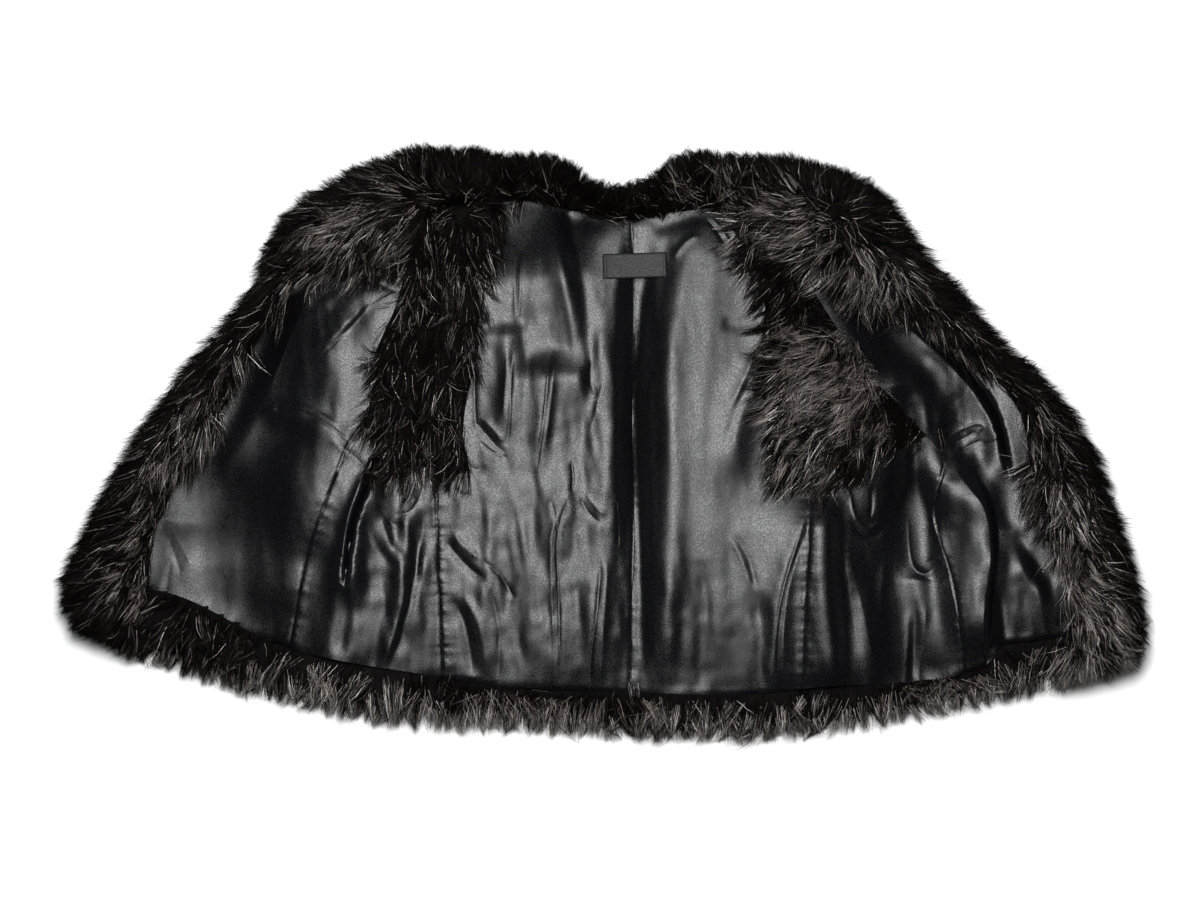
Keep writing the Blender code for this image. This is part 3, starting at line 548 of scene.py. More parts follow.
def noise(x, y, size_x, size_y, turn, seed):
    """Smooth noise from -1 to 1 with features of this size, in metres, turned by degrees."""
    table = np.random.default_rng(seed).uniform(-1, 1, (64, 64))
    c, s = math.cos(math.radians(turn)), math.sin(math.radians(turn))
    u, v = (x * c + y * s) / size_x, (y * c - x * s) / size_y
    i, j = np.floor(u).astype(int), np.floor(v).astype(int)
    fu, fv = u - i, v - j
    fu, fv = fu * fu * (3 - 2 * fu), fv * fv * (3 - 2 * fv)
    at = lambda a, b: table[(j + b) % 64, (i + a) % 64]
    return (at(0, 0) * (1 - fu) + at(1, 0) * fu) * (1 - fv) + (at(0, 1) * (1 - fu) + at(1, 1) * fu) * fv


def layered(x, y, layers):
    """The sum of some layers of noise."""
    return sum(strength * noise(x, y, *rest) for strength, *rest in layers)


def smooth_run(points, pieces):
    """A run through the points, rounded between them."""
    points = np.array(points, float)
    if len(points) < 3:
        return points
    padded = np.concatenate([[2 * points[0] - points[1]], points, [2 * points[-1] - points[-2]]])
    out = [points[:1]]
    t = (np.arange(1, pieces + 1) / pieces)[:, None]
    for a, b, c, d in zip(padded, padded[1:], padded[2:], padded[3:]):
        square, cube = 2 * a - 5 * b + 4 * c - d, 3 * b - a - 3 * c + d
        out.append(0.5 * (2 * b + (c - a) * t + square * t**2 + cube * t**3))
    return np.concatenate(out)


def photo_places(pixels):
    """The places, in metres, of a run that lists x and y in photo pixels."""
    return [from_photo(*p) for p in zip(pixels[::2], pixels[1::2])]


def photo_run(pixels):
    return smooth_run(photo_places(pixels), 3)


def lengths_of(run):
    return np.linalg.norm(np.diff(run, axis=0), axis=1)


def along_run(run):
    """How far along the run each of its points lies, in metres."""
    return np.concatenate([[0], np.cumsum(lengths_of(run))])


def beside(x, y, run):
    """How far each point lies to the right of a run going down, and how far along it is, from 0 to 1."""
    lengths = lengths_of(run)
    nearest = np.full(np.shape(x), np.inf)
    aside = np.zeros(np.shape(x))
    along = np.zeros(np.shape(x))
    passed = 0.0
    for start, end, length in zip(run, run[1:], lengths):
        way = (end - start) / length
        t = ((x - start[0]) * way[0] + (y - start[1]) * way[1]).clip(0, length)
        off_x, off_y = x - start[0] - t * way[0], y - start[1] - t * way[1]
        away = np.hypot(off_x, off_y)
        closer = away < nearest
        right = np.sign(off_y * way[0] - off_x * way[1])
        nearest = np.where(closer, away, nearest)
        aside = np.where(closer, away * right, aside)
        along = np.where(closer, (passed + t) / lengths.sum(), along)
        passed += length
    return aside, along


def below_hem(x, y):
    """How far below the lining's hem each place lies, and 0 above it or beside its ends."""
    aside, along = beside(x, y, photo_run(HEM_RUN))
    return np.where((along > 0) & (along < 1), (-aside).clip(0, None), 0)


# Heights from the CAD.

CLOTH_KNOWN = heights_of(sources(LININGS))
grid_x, grid_y = np.meshgrid(
    RASTER_X[0] + CELL * np.arange(CLOTH_KNOWN.shape[1]), RASTER_Y[0] + CELL * np.arange(CLOTH_KNOWN.shape[0])
)
CLOTH_KNOWN = np.where(below_hem(grid_x, grid_y) > CELL / 2, NOTHING, CLOTH_KNOWN)
CLOTH = filled(CLOTH_KNOWN, CLOTH_BLUR)
CLOTH_SHARE = blurred((CLOTH_KNOWN > 0).astype(float), 4.5 * MM)
ALL_KNOWN = heights_of(sources(sorted(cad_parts)), REACH_CELL) > 0
OUTLINE = ~open_floor(ALL_KNOWN)
REACH = inside_reach(OUTLINE, REACH_CELL)
REACH_SLOPE = [blurred(g, 6 * MM, REACH_CELL) for g in np.gradient(REACH, REACH_CELL)]
FROM_HOLE = inside_reach(~(OUTLINE & ~ALL_KNOWN), REACH_CELL)
HOLE_SLOPE = [blurred(g, 5 * MM, REACH_CELL) for g in np.gradient(FROM_HOLE, REACH_CELL)]
TURNED_IN = heights_of(sources([n for n in FURS if n not in SLABS]))


# The lining.


def crease_heights(x, y):
    total = np.zeros(np.shape(x))
    for height, left, right, *pixels in CREASES:
        aside, along = beside(x, y, photo_run(pixels))
        thin = min(1.0, max(0.0, (THIN_FROM - min(left, right)) / (THIN_FROM - THIN_TO)))
        narrower = 1 - thin * (1 - THIN_WIDTH)
        gain = CREASE_GAIN - thin * (CREASE_GAIN - THIN_GAIN)
        if height < CLEFT_FROM:
            narrower, gain = 1.0, 1.0
        across = np.abs(aside) / (np.where(aside < 0, left, right) * narrower * MM)
        ends = (np.minimum(along, 1 - along) / CREASE_FADE).clip(0, 1)
        total += height * MM * gain * np.exp(-CREASE_BELL * across**2) * np.sin(ends * np.pi / 2)
    return total


def broad_heights(x, y):
    total = np.zeros(np.shape(x))
    for drop, half, reach_left, reach_right, *pixels in SCARPS:
        aside, along = beside(x, y, photo_run(pixels))
        ends = (np.minimum(along, 1 - along) / CREASE_FADE).clip(0, 1)
        across = (aside / (half * MM)).clip(-1, 1)
        reach = np.where(aside < 0, reach_left, reach_right) * MM
        slope = across * (1.5 - across**2 / 2) * np.exp(-((aside / reach) ** 2))
        total -= drop / 2 * MM * slope * ends**2 * (3 - 2 * ends)
    down = ((PHOTO_ZERO[1] - y / PIXEL - HEM_DROOP_FROM) / HEM_DROOP_OVER).clip(0, 1)
    total -= HEM_DROOP * down**HEM_DROOP_POWER
    neck, _ = beside(x, y, photo_run(NECK_RUN))
    total -= NECK_DIP * np.exp(-((neck / NECK_DIP_REACH) ** 2))
    return total


def crumple(x, y):
    """Soft uneven wrinkles, long down the cloth, strongest where the photograph shows the most."""
    px, py = x / PIXEL + PHOTO_ZERO[0], PHOTO_ZERO[1] - y / PIXEL
    strength = np.full(np.shape(x), SMOOTH_SATIN)
    for at_x, at_y, reach_x, reach_y, more in CRUMPLED:
        strength += more * np.exp(-(((px - at_x) / reach_x) ** 2) - ((py - at_y) / reach_y) ** 2)
    folds = layered(x, y, LONG_FOLDS) + layered(x, y, SHORT_FOLDS) + layered(x, y, FINE_FOLDS)
    return MM * strength * folds


def seam_heights(x, y):
    total = np.zeros(np.shape(x))
    for number, (left, right, *pixels) in enumerate(SEAMS.values()):
        run = photo_run(pixels)
        aside, along = beside(x, y, run)
        length = lengths_of(run).sum()
        on = (np.minimum(along, 1 - along) * length / SEAM_END).clip(0, 1)
        away = np.abs(aside)
        total -= SEAM_GROOVE * on * np.exp(-((away / SEAM_HALF) ** 2))
        total += SEAM_RIDGE * on * np.exp(-(((away - SEAM_RIDGE_AT) / SEAM_RIDGE_HALF) ** 2))
        size = PUCKER_PITCH / 2, PUCKER_LONG
        waves = noise(along * length, aside * PUCKER_SQUASH, *size, 0, SEAM_SEED + number)
        side = np.where(aside < 0, left, right)
        total += MM * on * side * waves * (away / PUCKER_FROM).clip(0, 1) * np.exp(-away / PUCKER_REACH)
    return total


def hem_heights(x, y):
    aside, along = beside(x, y, photo_run(HEM_RUN))
    away = np.abs(aside)
    pleats = HEM_PLEAT * layered(along, away, HEM_PLEATS) * np.exp(-away / HEM_PLEAT_REACH)
    return -HEM_GROOVE * np.exp(-away / HEM_GROOVE_REACH) + pleats


LABEL_AT = np.array(from_photo(635.0, 264.0))
LABEL_SIZE = (61.0 * MM, 24.0 * MM)
LABEL_TURN = math.radians(1.8)
LABEL_SAG = 1.2 * MM
LABEL_LIFT = 4.0 * MM  # over the middle of the valley that it spans
LABEL_FALL = 0.6 * MM  # from its left end to its right
LABEL_THICK = 0.9 * MM
LABEL_COLUMNS, LABEL_ROWS = 62, 25
CALM_FROM, CALM_OVER = 30 * MM, 16 * MM  # the satin lies calm round the label, up to here
CALM_NARROW = 1.6


def satin_height(x, y):
    """The upper face of the lining."""
    from_label = np.hypot(x - LABEL_AT[0], (y - LABEL_AT[1]) * CALM_NARROW)
    calm = ((from_label - CALM_FROM) / CALM_OVER).clip(0, 1)
    calm = calm * calm * (3 - 2 * calm)
    small = calm * (crease_heights(x, y) + crumple(x, y))
    height = sample(CLOTH, x, y) + broad_heights(x, y) + hem_heights(x, y) + small + seam_heights(x, y)
    deep = SATIN_FLOOR + SATIN_EASE * np.exp((height - SATIN_FLOOR - SATIN_EASE) / SATIN_EASE)
    return np.where(height < SATIN_FLOOR + SATIN_EASE, deep, height)


def link(name, data):
    made = bpy.data.objects.new(name, data)
    bpy.context.scene.collection.objects.link(made)
    return made


def welded(mesh):
    """The mesh for editing, with the corners of its faces joined."""
    bm = bmesh.new()
    bm.from_mesh(mesh)
    bmesh.ops.remove_doubles(bm, verts=bm.verts, dist=WELD)
    return bm


def mesh_of(bm, name):
    mesh = bpy.data.meshes.new(name)
    bm.to_mesh(mesh)
    bm.free()
    return mesh


def ringed(bm, rings):
    """Faces between each closed ring of vertices and the next."""
    for a, b in zip(rings, rings[1:]):
        for k in range(len(a)):
            after = (k + 1) % len(a)
            bm.faces.new((a[k], b[k], b[after], a[after]))


def on_root(piece, node=None):
    """Hide the CAD node that the piece stands for, if given, and hang the piece on the root body."""
    if node:
        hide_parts(node)
    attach(piece, "root")
    return piece


def top_border(node):
    """The border loops of a lining node's upper face, as places in the plan."""
    bm = welded(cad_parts[node].data)
    bm.normal_update()
    bmesh.ops.delete(bm, geom=[f for f in bm.faces if f.normal.z < FACES_UP], context="FACES")
    after = {}
    for edge in bm.edges:
        if len(edge.link_faces) == 1:
            loop = edge.link_loops[0]
            after[loop.vert] = loop.link_loop_next.vert
    loops = []
    while after:
        start, at = next(iter(after.items()))
        loop = [start]
        del after[start]
        while at in after:
            loop.append(at)
            at = after.pop(at)
        loops.append(np.array([v.co[:2] for v in loop]))
    bm.free()
    return max(loops, key=len)


def resampled(loop, step):
    """A closed loop with places about a step apart that keeps its own corners."""
    out = []
    for start, end in zip(loop, np.roll(loop, -1, axis=0)):
        count = max(1, round(float(np.linalg.norm(end - start)) / step))
        out += [start + (end - start) * k / count for k in range(count)]
    return np.array(out)


def merged(loop, gap):
    """The loop without points that lie closer than the gap to the last one kept."""
    kept = [loop[0]]
    for point in loop[1:]:
        if np.linalg.norm(point - kept[-1]) > gap:
            kept.append(point)
    if np.linalg.norm(kept[-1] - kept[0]) <= gap:
        kept.pop()
    return np.array(kept)


def within(loop, x, y):
    inside = np.zeros(x.shape, bool)
    for (ax, ay), (bx, by) in zip(loop, np.roll(loop, -1, axis=0)):
        if ay != by:
            crossing = (ay > y) != (by > y)
            inside ^= crossing & (x < (bx - ax) * (y - ay) / (by - ay) + ax)
    return inside


def hexagonal(loop, step):
    """Places on a grid of triangles, a step apart, inside a loop and clear of it."""
    low, high = loop.min(axis=0), loop.max(axis=0)
    rows = np.arange(low[1], high[1], step * math.sqrt(3) / 2)
    x, y = np.meshgrid(np.arange(low[0], high[0], step), rows)
    x = x + (np.arange(len(rows)) % 2)[:, None] * step / 2
    return clear_of(loop, np.column_stack([x.ravel(), y.ravel()]), CLEAR_OF * step)


def clear_of(loop, places, gap):
    """The places inside a loop and further than the gap from its points."""
    x, y = places.T
    near = np.full(x.shape, np.inf)
    for point in loop:
        near = np.minimum(near, np.hypot(x - point[0], y - point[1]))
    return places[within(loop, x, y) & (near > gap)]


def fine_places():
    """Rows of places along each thin crease and each seam, a little apart from each other."""
    runs = [pixels for _, left, right, *pixels in CREASES if min(left, right) < THIN_FROM]
    runs += [pixels for _, _, *pixels in SEAMS.values()]
    rows = {row: [] for row in CREASE_ROWS}
    for pixels in runs:
        run = photo_run(pixels)
        at = along_run(run)
        along = np.linspace(0, at[-1], max(3, round(at[-1] / CREASE_STEP)))
        places = np.column_stack([np.interp(along, at, run[:, 0]), np.interp(along, at, run[:, 1])])
        way = np.gradient(places, axis=0)
        way /= np.linalg.norm(way, axis=1, keepdims=True)
        for row in CREASE_ROWS:
            rows[row].append(places + np.column_stack([-way[:, 1], way[:, 0]]) * row * MM)
    kept, cells = [], {}
    for x, y in np.concatenate([place for row in CREASE_ROWS for place in rows[row]]).tolist():
        i, j = int(x // CREASE_GAP), int(y // CREASE_GAP)
        around = [cells.get((i + a, j + b)) for a in (-1, 0, 1) for b in (-1, 0, 1)]
        if all(p is None or math.hypot(p[0] - x, p[1] - y) > CREASE_GAP for p in around):
            cells[(i, j)] = (x, y)
            kept.append((x, y))
    return np.array(kept)


def cut_out(loop, places):
    """A flat mesh of triangles inside the loop through the places: its points and faces."""
    points = [Vector(p) for p in loop] + [Vector(p) for p in places]
    border = [(i, (i + 1) % len(loop)) for i in range(len(loop))]
    flat, _, faces, *_ = geometry.delaunay_2d_cdt(points, border, [], 1, 1e-7)
    return np.array([p[:] for p in flat]), faces


def spots(places):
    """Each place of the plan to a micrometre, to tell which are the same."""
    return [(round(x * 1e6), round(y * 1e6)) for x, y in places.tolist()]


def satin_piece(name, node, finish):
    """A thin closed shell over the whole of a lining node, fine enough for every crease."""
    loop = resampled(top_border(node), SATIN_STEP)
    loop[:, 1] += below_hem(loop[:, 0], loop[:, 1])
    loop = resampled(merged(loop, SATIN_STEP / 3), SATIN_STEP)
    fine = clear_of(loop, FINE, FINE_CLEAR_OF * SATIN_STEP)
    tree = kdtree.KDTree(max(1, len(fine)))
    for i, place in enumerate(fine):
        tree.insert((*place, 0), i)
    tree.balance()
    wide = hexagonal(loop, SATIN_STEP)
    apart = np.array([tree.find((*place, 0))[2] or 1.0 for place in wide])
    top, top_faces = cut_out(loop, np.concatenate([fine, wide[apart > CLEAR_OF * SATIN_STEP]]))
    low, low_faces = cut_out(loop, hexagonal(loop, 2 * SATIN_STEP))
    top_z = satin_height(top[:, 0], top[:, 1])
    around = [satin_height(low[:, 0] + a * MM, low[:, 1] + b * MM) for a, b in LOW_AROUND]
    low_z = np.min(around, axis=0) - SATIN_THICK
    # the rim joins both faces
    of_top = {spot: i for i, spot in enumerate(spots(top))}
    count = len(top)
    sides = {(a, b) for face in top_faces for a, b in zip(face, face[1:] + face[:1])}
    rim = {(a, b) for a, b in sides if (b, a) not in sides}
    on_rim = {i for edge in rim for i in edge}
    under = {}
    for i, spot in enumerate(spots(low)):
        at = of_top.get(spot)
        if at in on_rim:
            under[at] = i + count
            low_z[i] = top_z[at] - SATIN_THICK
    points = np.concatenate([np.column_stack([top, top_z]), np.column_stack([low, low_z])])
    shell = [tuple(f) for f in top_faces] + [tuple(i + count for i in reversed(f)) for f in low_faces]
    shell += [(b, a, under[a], under[b]) for a, b in rim]
    mesh = bpy.data.meshes.new(name)
    mesh.from_pydata(points.tolist(), [], shell)
    mesh.materials.append(finish)
    mesh.shade_smooth()
    mesh.set_sharp_from_angle(angle=math.radians(60))
    return on_root(link(name, mesh), node)


# The fur.


def near_rows(x, y, table):
    """What each row of a table says beside its photo pixel, after its weight at these places."""
    for px, py, *says in table:
        at_x, at_y = from_photo(px, py)
        yield (np.hypot(x - at_x, y - at_y) + COMB_SOFT) ** -COMB_POWER, *says


def comb_at(x, y):
    """Heading, as a unit vector in the plan, and rise in radians at each place."""
    way_x = way_y = rise = total = 0
    for weight, heading, lift in near_rows(x, y, COMB):
        way_x = way_x + weight * math.cos(math.radians(heading))
        way_y = way_y + weight * math.sin(math.radians(heading))
        rise = rise + weight * math.radians(lift)
        total = total + weight
    length = np.hypot(way_x, way_y) + 1e-12
    return way_x / length, way_y / length, RISE_GAIN * rise / total


# The share of pale hairs here: partly the fur's own tone, partly painted highlight and shade.
def pale_hairs_and_painted_light_at(x, y):
    value = total = 0
    for weight, pale_and_painted in near_rows(x, y, PALE_HAIRS_AND_PAINTED_LIGHT):
        value, total = value + weight * pale_and_painted, total + weight
    return value / total


def skin_piece(name, node, finish):
    """The dense short fur under the hair: the solid, drawn in and lowered by what the hair adds."""
    slab = node in SLABS
    piece = link(name, mesh_of(welded(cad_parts[node].data), name + "_solid"))
    remesh = piece.modifiers.new("remesh", "REMESH")
    remesh.mode = "VOXEL"
    remesh.voxel_size = SLAB_VOXEL if slab else SKIN_VOXEL
    soften = piece.modifiers.new("soften", "SMOOTH")
    soften.factor = 0.5
    soften.iterations = 3
    made = bpy.data.meshes.new_from_object(piece.evaluated_get(bpy.context.evaluated_depsgraph_get()))
    piece.modifiers.clear()
    piece.data = made
    made.name = name
    co = np.empty(len(made.vertices) * 3)
    made.vertices.foreach_get("co", co)
    co = co.reshape(-1, 3)
    normals = np.array([v.normal[:] for v in made.vertices])
    draw = SKIN_DRAWN * (1 - coarse(REACH, co) / SKIN_DRAWN_FROM).clip(0, 1)
    into_hole = INTO_HOLE * (1 - coarse(FROM_HOLE, co) / INTO_HOLE_FROM).clip(0, 1)
    slope_y, slope_x, hole_y, hole_x = [coarse(slope, co) for slope in REACH_SLOPE + HOLE_SLOPE]
    co[:, 0] += slope_x * draw - hole_x * into_hole
    co[:, 1] += slope_y * draw - hole_y * into_hole
    co[:, 2] = co[:, 2].clip(0, None) * SKIN_FLAT
    if slab:
        under = np.minimum(co[:, 2], sample(SATIN_LOW, co[:, 0], co[:, 1]) - UNDER_SATIN)
        co[:, 2] = np.where(sample(CLOTH_SHARE, co[:, 0], co[:, 1]) > 0.3, under, co[:, 2])
    lumps = layered(co[:, 0], co[:, 1] + co[:, 2], LUMPS) + layered(co[:, 0], co[:, 1], SMALL_LUMPS)
    lift = (LUMP_HEIGHT * lumps * (co[:, 2] / LUMP_FROM).clip(0, 1))[:, None]
    co += normals * (SLAB_LUMPS if slab else 1.0) * lift
    co[:, 2] = co[:, 2].clip(0, None)
    made.vertices.foreach_set("co", co.ravel())
    made.materials.append(finish)
    made.shade_smooth()
    made.update()
    return on_root(piece, node)


def triangles_of(mesh):
    mesh.calc_loop_triangles()
    points = np.empty(len(mesh.vertices) * 3)
    mesh.vertices.foreach_get("co", points)
    faces = np.empty(len(mesh.loop_triangles) * 3, np.int32)
    mesh.loop_triangles.foreach_get("vertices", faces)
    return points.reshape(-1, 3)[faces.reshape(-1, 3)]


def rooted(piece, node, count, rng):
    """Places on the skin where hair shows, with the skin's direction there."""
    corners = triangles_of(piece.data)
    cross = np.cross(corners[:, 1] - corners[:, 0], corners[:, 2] - corners[:, 0])
    area = np.linalg.norm(cross, axis=1) / 2
    normal = cross / (2 * area[:, None] + 1e-15)
    middle = corners.mean(axis=1)
    x, y, z = middle.T
    weight = area * (normal[:, 2] > ROOTS_UP) * (z > ROOTS_FROM)
    inside = coarse(REACH, middle)
    if node in SLABS:
        under_lining = sample(CLOTH_SHARE, x, y) > LINING_HIDES
        under_fur = sample(TURNED_IN, x, y) > z + FUR_HIDES
        by_hole = coarse(FROM_HOLE, middle) < BY_HOLE
        hidden = (under_lining | under_fur) & (inside > HIDDEN_FROM) & ~by_hole
        weight *= np.where(by_hole, 2.5, 1.0)
        weight *= ~hidden
        weight *= np.where(under_fur & (normal[:, 2] > 0.6), 0.35, 1.0)
    weight *= 1 + 0.5 * (inside < RIM_DENSE)
    picked = rng.choice(len(area), count, p=weight / weight.sum())
    a, b = rng.random(count), rng.random(count)
    over = a + b > 1
    a, b = np.where(over, 1 - a, a), np.where(over, 1 - b, b)
    p = corners[picked]
    roots = p[:, 0] + a[:, None] * (p[:, 1] - p[:, 0]) + b[:, None] * (p[:, 2] - p[:, 0])
    return roots, normal[picked]


def unit(v):
    return v / (np.linalg.norm(v, axis=-1, keepdims=True) + 1e-12)


def paths(roots, normals, turn, lift, length, curl):
    """The points along each strand, root first."""
    way_x, way_y, rise = comb_at(roots[:, 0], roots[:, 1])
    heading = np.arctan2(way_y, way_x) + turn
    rise = rise + lift
    points = [roots]
    for step in range(STEPS):
        t = (step + 0.5) / STEPS
        angle = heading + curl * t
        climb = rise * (1 - FALLS_BACK * t) + DROOP * t
        way = np.column_stack([np.cos(climb) * np.cos(angle), np.cos(climb) * np.sin(angle), np.sin(climb)])
        outward = (way * normals).sum(axis=1)
        push = (OUTWARD * (1 - t) - outward).clip(0, None)[:, None]
        way = unit(way + OUTWARD_PUSH * push * normals * (1 - OUTWARD_FADE * t))
        points.append(points[-1] + way * (length / STEPS)[:, None])
    return np.stack(points, axis=1)


def near_whorl(places):
    """How near the places are to where the hair parts every way, from 0 to 1."""
    near = np.zeros(len(places))
    for whorl in WHORLS:
        away = places[:, :2] - np.array(from_photo(*whorl))
        near += np.exp(-((away**2).sum(axis=1) / WHORL_REACH**2))
    return near


def held_clear(points, node, skins_top, rng):
    """Keep the strands over skins and satin, those of the slabs under the lining, and none too high."""
    count = len(points)
    for step in range(1, STEPS + 1):
        x, y, z = points[:, step].T
        floor = sample(skins_top, x, y) + (0.5 + 0.4 * step) * MM
        if node in SLABS:
            share = sample(CLOTH_SHARE, x, y)
            under = sample(CLOTH, x, y) - CAD_LINING - 2.2 * MM
            z = np.where(share > 0.25, np.minimum(z, under), z)
            z = np.maximum(z, LOWEST + 0.5 * MM * rng.random(count))
            bare = (share < 0.1) & (sample(TURNED_IN, x, y) < 0)
            z = np.where(bare, np.maximum(z, floor), z)
        else:
            z = np.maximum(z, np.maximum(floor, LOWEST))
        points[:, step, 2] = np.minimum(z, HIGHEST - 2 * MM * rng.random(count))


def pale_share(roots, points):
    """The share of pale hairs round each root: fewer towards the outline, which is painted shade on the fur's
    rim, but more at the hem, times the table's share, which is partly painted highlight and shade.
    """
    # Fewer pale hairs near the outline: painted shade on the rim of the fur.
    rim = (coarse(REACH, points[:, 2]) / RIM_PAINTED_SHADE).clip(0.04, 1) ** 1.5
    low = ((PHOTO_ZERO[1] - roots[:, 1] / PIXEL - HEM_LIGHT_FROM) / HEM_LIGHT_OVER).clip(0, 1)
    return PALE_SHARE * np.maximum(rim, HEM_LIGHT * low) * pale_hairs_and_painted_light_at(roots[:, 0], roots[:, 1])


def ribbons(name, points, normals, width, roll, kind, finishes):
    """A mesh with one tapered ribbon for each strand, its first stretch of the darkest kind, partly the
    hair's own dark root and partly painted shade deep in the fur, and the rest of its own kind.
    """
    count = len(points)
    tangent = unit(np.gradient(points, axis=1))
    side = unit(np.cross(tangent, unit(normals + [0, 0, 0.8])[:, None]))
    side = side * np.cos(roll) + np.cross(tangent, side) * np.sin(roll)
    half = side[:, :STEPS] * (width[:, None] * np.array(TAPER) / 2)[..., None]
    left, right = points[:, :STEPS] + half, points[:, :STEPS] - half
    verts = np.concatenate([np.stack([left, right], axis=2).reshape(count, -1, 3), points[:, -1:]], axis=1)
    per = 2 * STEPS + 1
    pattern = [i for k in range(0, per - 3, 2) for i in (k, k + 1, k + 3, k + 2)]
    pattern += [per - 3, per - 2, per - 1]
    base = np.arange(count)[:, None]
    loops = (base * per + np.array(pattern)).ravel()
    starts = (base * len(pattern) + np.arange(STEPS) * 4).ravel()
    mesh = bpy.data.meshes.new(name)
    mesh.vertices.add(count * per)
    mesh.vertices.foreach_set("co", verts.astype(np.float32).ravel())
    mesh.loops.add(len(loops))
    mesh.loops.foreach_set("vertex_index", loops.astype(np.int32))
    mesh.polygons.add(count * STEPS)
    mesh.polygons.foreach_set("loop_start", starts.astype(np.int32))
    for finish in finishes:
        mesh.materials.append(finish)
    # The first stretch of every strand is of the darkest kind: partly the hair's dark root, partly painted
    # shade deep in the fur.
    tones = np.stack([0 * kind, kind, kind], axis=1)
    mesh.polygons.foreach_set("material_index", tones.astype(np.int32).ravel())
    mesh.update(calc_edges=True)
    mesh.shade_smooth()
    return mesh


def hair_piece(name, node, skin, skins_top, finishes, seed):
    """Long hair on a skin, in locks that taper to points."""
    count, longest = FURS[node]
    rng = np.random.default_rng(seed)
    scatter = lambda degrees, size: np.radians(rng.normal(0, degrees, size))
    roots, normals = rooted(skin, node, count, rng)
    roots = roots - normals * ROOT_DEPTH
    # locks
    centres = rng.choice(count, max(8, count // LOCK_STRANDS), replace=False)
    locks = len(centres)
    tree = kdtree.KDTree(locks)
    for i, c in enumerate(centres):
        tree.insert(roots[c], i)
    tree.balance()
    lock = np.array([tree.find(r)[1] for r in roots])
    wave = layered(roots[centres, 0], roots[centres, 1], LOCK_WAVES)
    lock_turn = np.radians(rng.normal(0, LOCK_TURN, locks) + LOCK_TURN * wave)
    lock_turn += near_whorl(roots[centres]) * scatter(WHORL_TURN, locks)
    lock_lift = scatter(LOCK_LIFT, locks)
    lock_curl = scatter(LOCK_CURL, locks)
    lock_length = rng.uniform(*LOCK_LENGTHS, locks) * longest * MM
    guides = paths(roots[centres], normals[centres], lock_turn, lock_lift, lock_length, lock_curl)
    # strands
    loose = rng.random(count) < LOOSE
    by_hole = (coarse(FROM_HOLE, roots) < BY_HOLE) & (node in SLABS)
    turn = lock_turn[lock] + np.radians(rng.normal(0, 1, count) * np.where(loose, LOOSE_TURN, STRAND_TURN))
    lift = lock_lift[lock] + np.radians(rng.normal(0, 1, count) * np.where(loose, LOOSE_LIFT, STRAND_LIFT))
    curl = lock_curl[lock] + scatter(STRAND_CURL, count)
    turn += near_whorl(roots) * scatter(WHORL_TURN, count)
    length = lock_length[lock] * rng.uniform(*STRAND_LENGTHS, count)
    comb_x, comb_y, _ = comb_at(roots[:, 0], roots[:, 1])
    into_y, into_x = [-coarse(slope, roots) for slope in HOLE_SLOPE]
    across = np.arctan2(into_y, into_x) - np.arctan2(comb_y, comb_x) + scatter(HOLE_TURN, count)
    turn = np.where(by_hole, across, turn)
    for _ in range(SHORTER_TRIES):
        points = paths(roots, normals, turn, lift, length, curl)
        allowed = -3.0 * MM - 4.0 * MM * (lock % 5 == 0) - 3.0 * MM * loose
        length = np.where(coarse(REACH, points[:, -1]) < allowed, length * SHORTER, length)
    together = np.where(loose | by_hole, LOOSE_TOGETHER, rng.uniform(*TOGETHER, locks)[lock])
    guide = guides[lock]
    guide = guide[:, :1] + (guide - guide[:, :1]) * (length / lock_length[lock])[:, None, None]
    pull = (np.arange(STEPS + 1) / STEPS) ** 1.2
    points = points + (guide - points) * (together[:, None] * pull)[..., None]
    held_clear(points, node, skins_top, rng)
    # tones
    patches = (0.5 + 0.5 * layered(roots[:, 0], roots[:, 1], PALE_PATCHES)) ** 1.6
    share = pale_share(roots, points) * (LOCK_PALE[0] + LOCK_PALE[1] * rng.random(locks)[lock] ** 2)
    share = np.minimum(share * (PATCH_PALE[0] + PATCH_PALE[1] * patches), MOST_PALE)
    draw = rng.random(count)
    brown = draw < BROWN_SHARE[0] + BROWN_SHARE[1] * share
    # Hair of the slabs that hangs into an armhole is all of the darkest kind: painted shade in the hole.
    kind = np.where(draw < share, 2, np.where(brown, 1, 0)) * ~by_hole
    width = np.where(kind == 2, rng.uniform(*PALE_WIDTHS, count), rng.uniform(*DARK_WIDTHS, count)) * MM
    width = np.where(loose & (kind < 2), LOOSE_WIDTH * MM, width)
    roll = scatter(ROLL, count)[:, None, None]
    return on_root(link(name, ribbons(name, points, normals, width, roll, kind, finishes)))


# Materials.


def shader_of(name, colour, roughness, specular=0.5):
    made = bpy.data.materials.new(name)
    made.use_nodes = True
    shader = made.node_tree.nodes["Principled BSDF"]
    shader.inputs["Base Color"].default_value = (*colour, 1.0)
    shader.inputs["Roughness"].default_value = roughness
    shader.inputs["Specular IOR Level"].default_value = specular
    return made, made.node_tree, shader


def object_noise(tree, scale, stretch, detail=3.0):
    """A noise texture over the object's own coordinates, stretched by the three factors."""
    place = tree.nodes.new("ShaderNodeTexCoord")
    mapping = tree.nodes.new("ShaderNodeMapping")
    mapping.inputs["Scale"].default_value = stretch
    texture = tree.nodes.new("ShaderNodeTexNoise")
    texture.inputs["Scale"].default_value = scale
    texture.inputs["Detail"].default_value = detail
    tree.links.new(place.outputs["Object"], mapping.inputs["Vector"])
    tree.links.new(mapping.outputs["Vector"], texture.inputs["Vector"])
    return texture.outputs["Fac"]


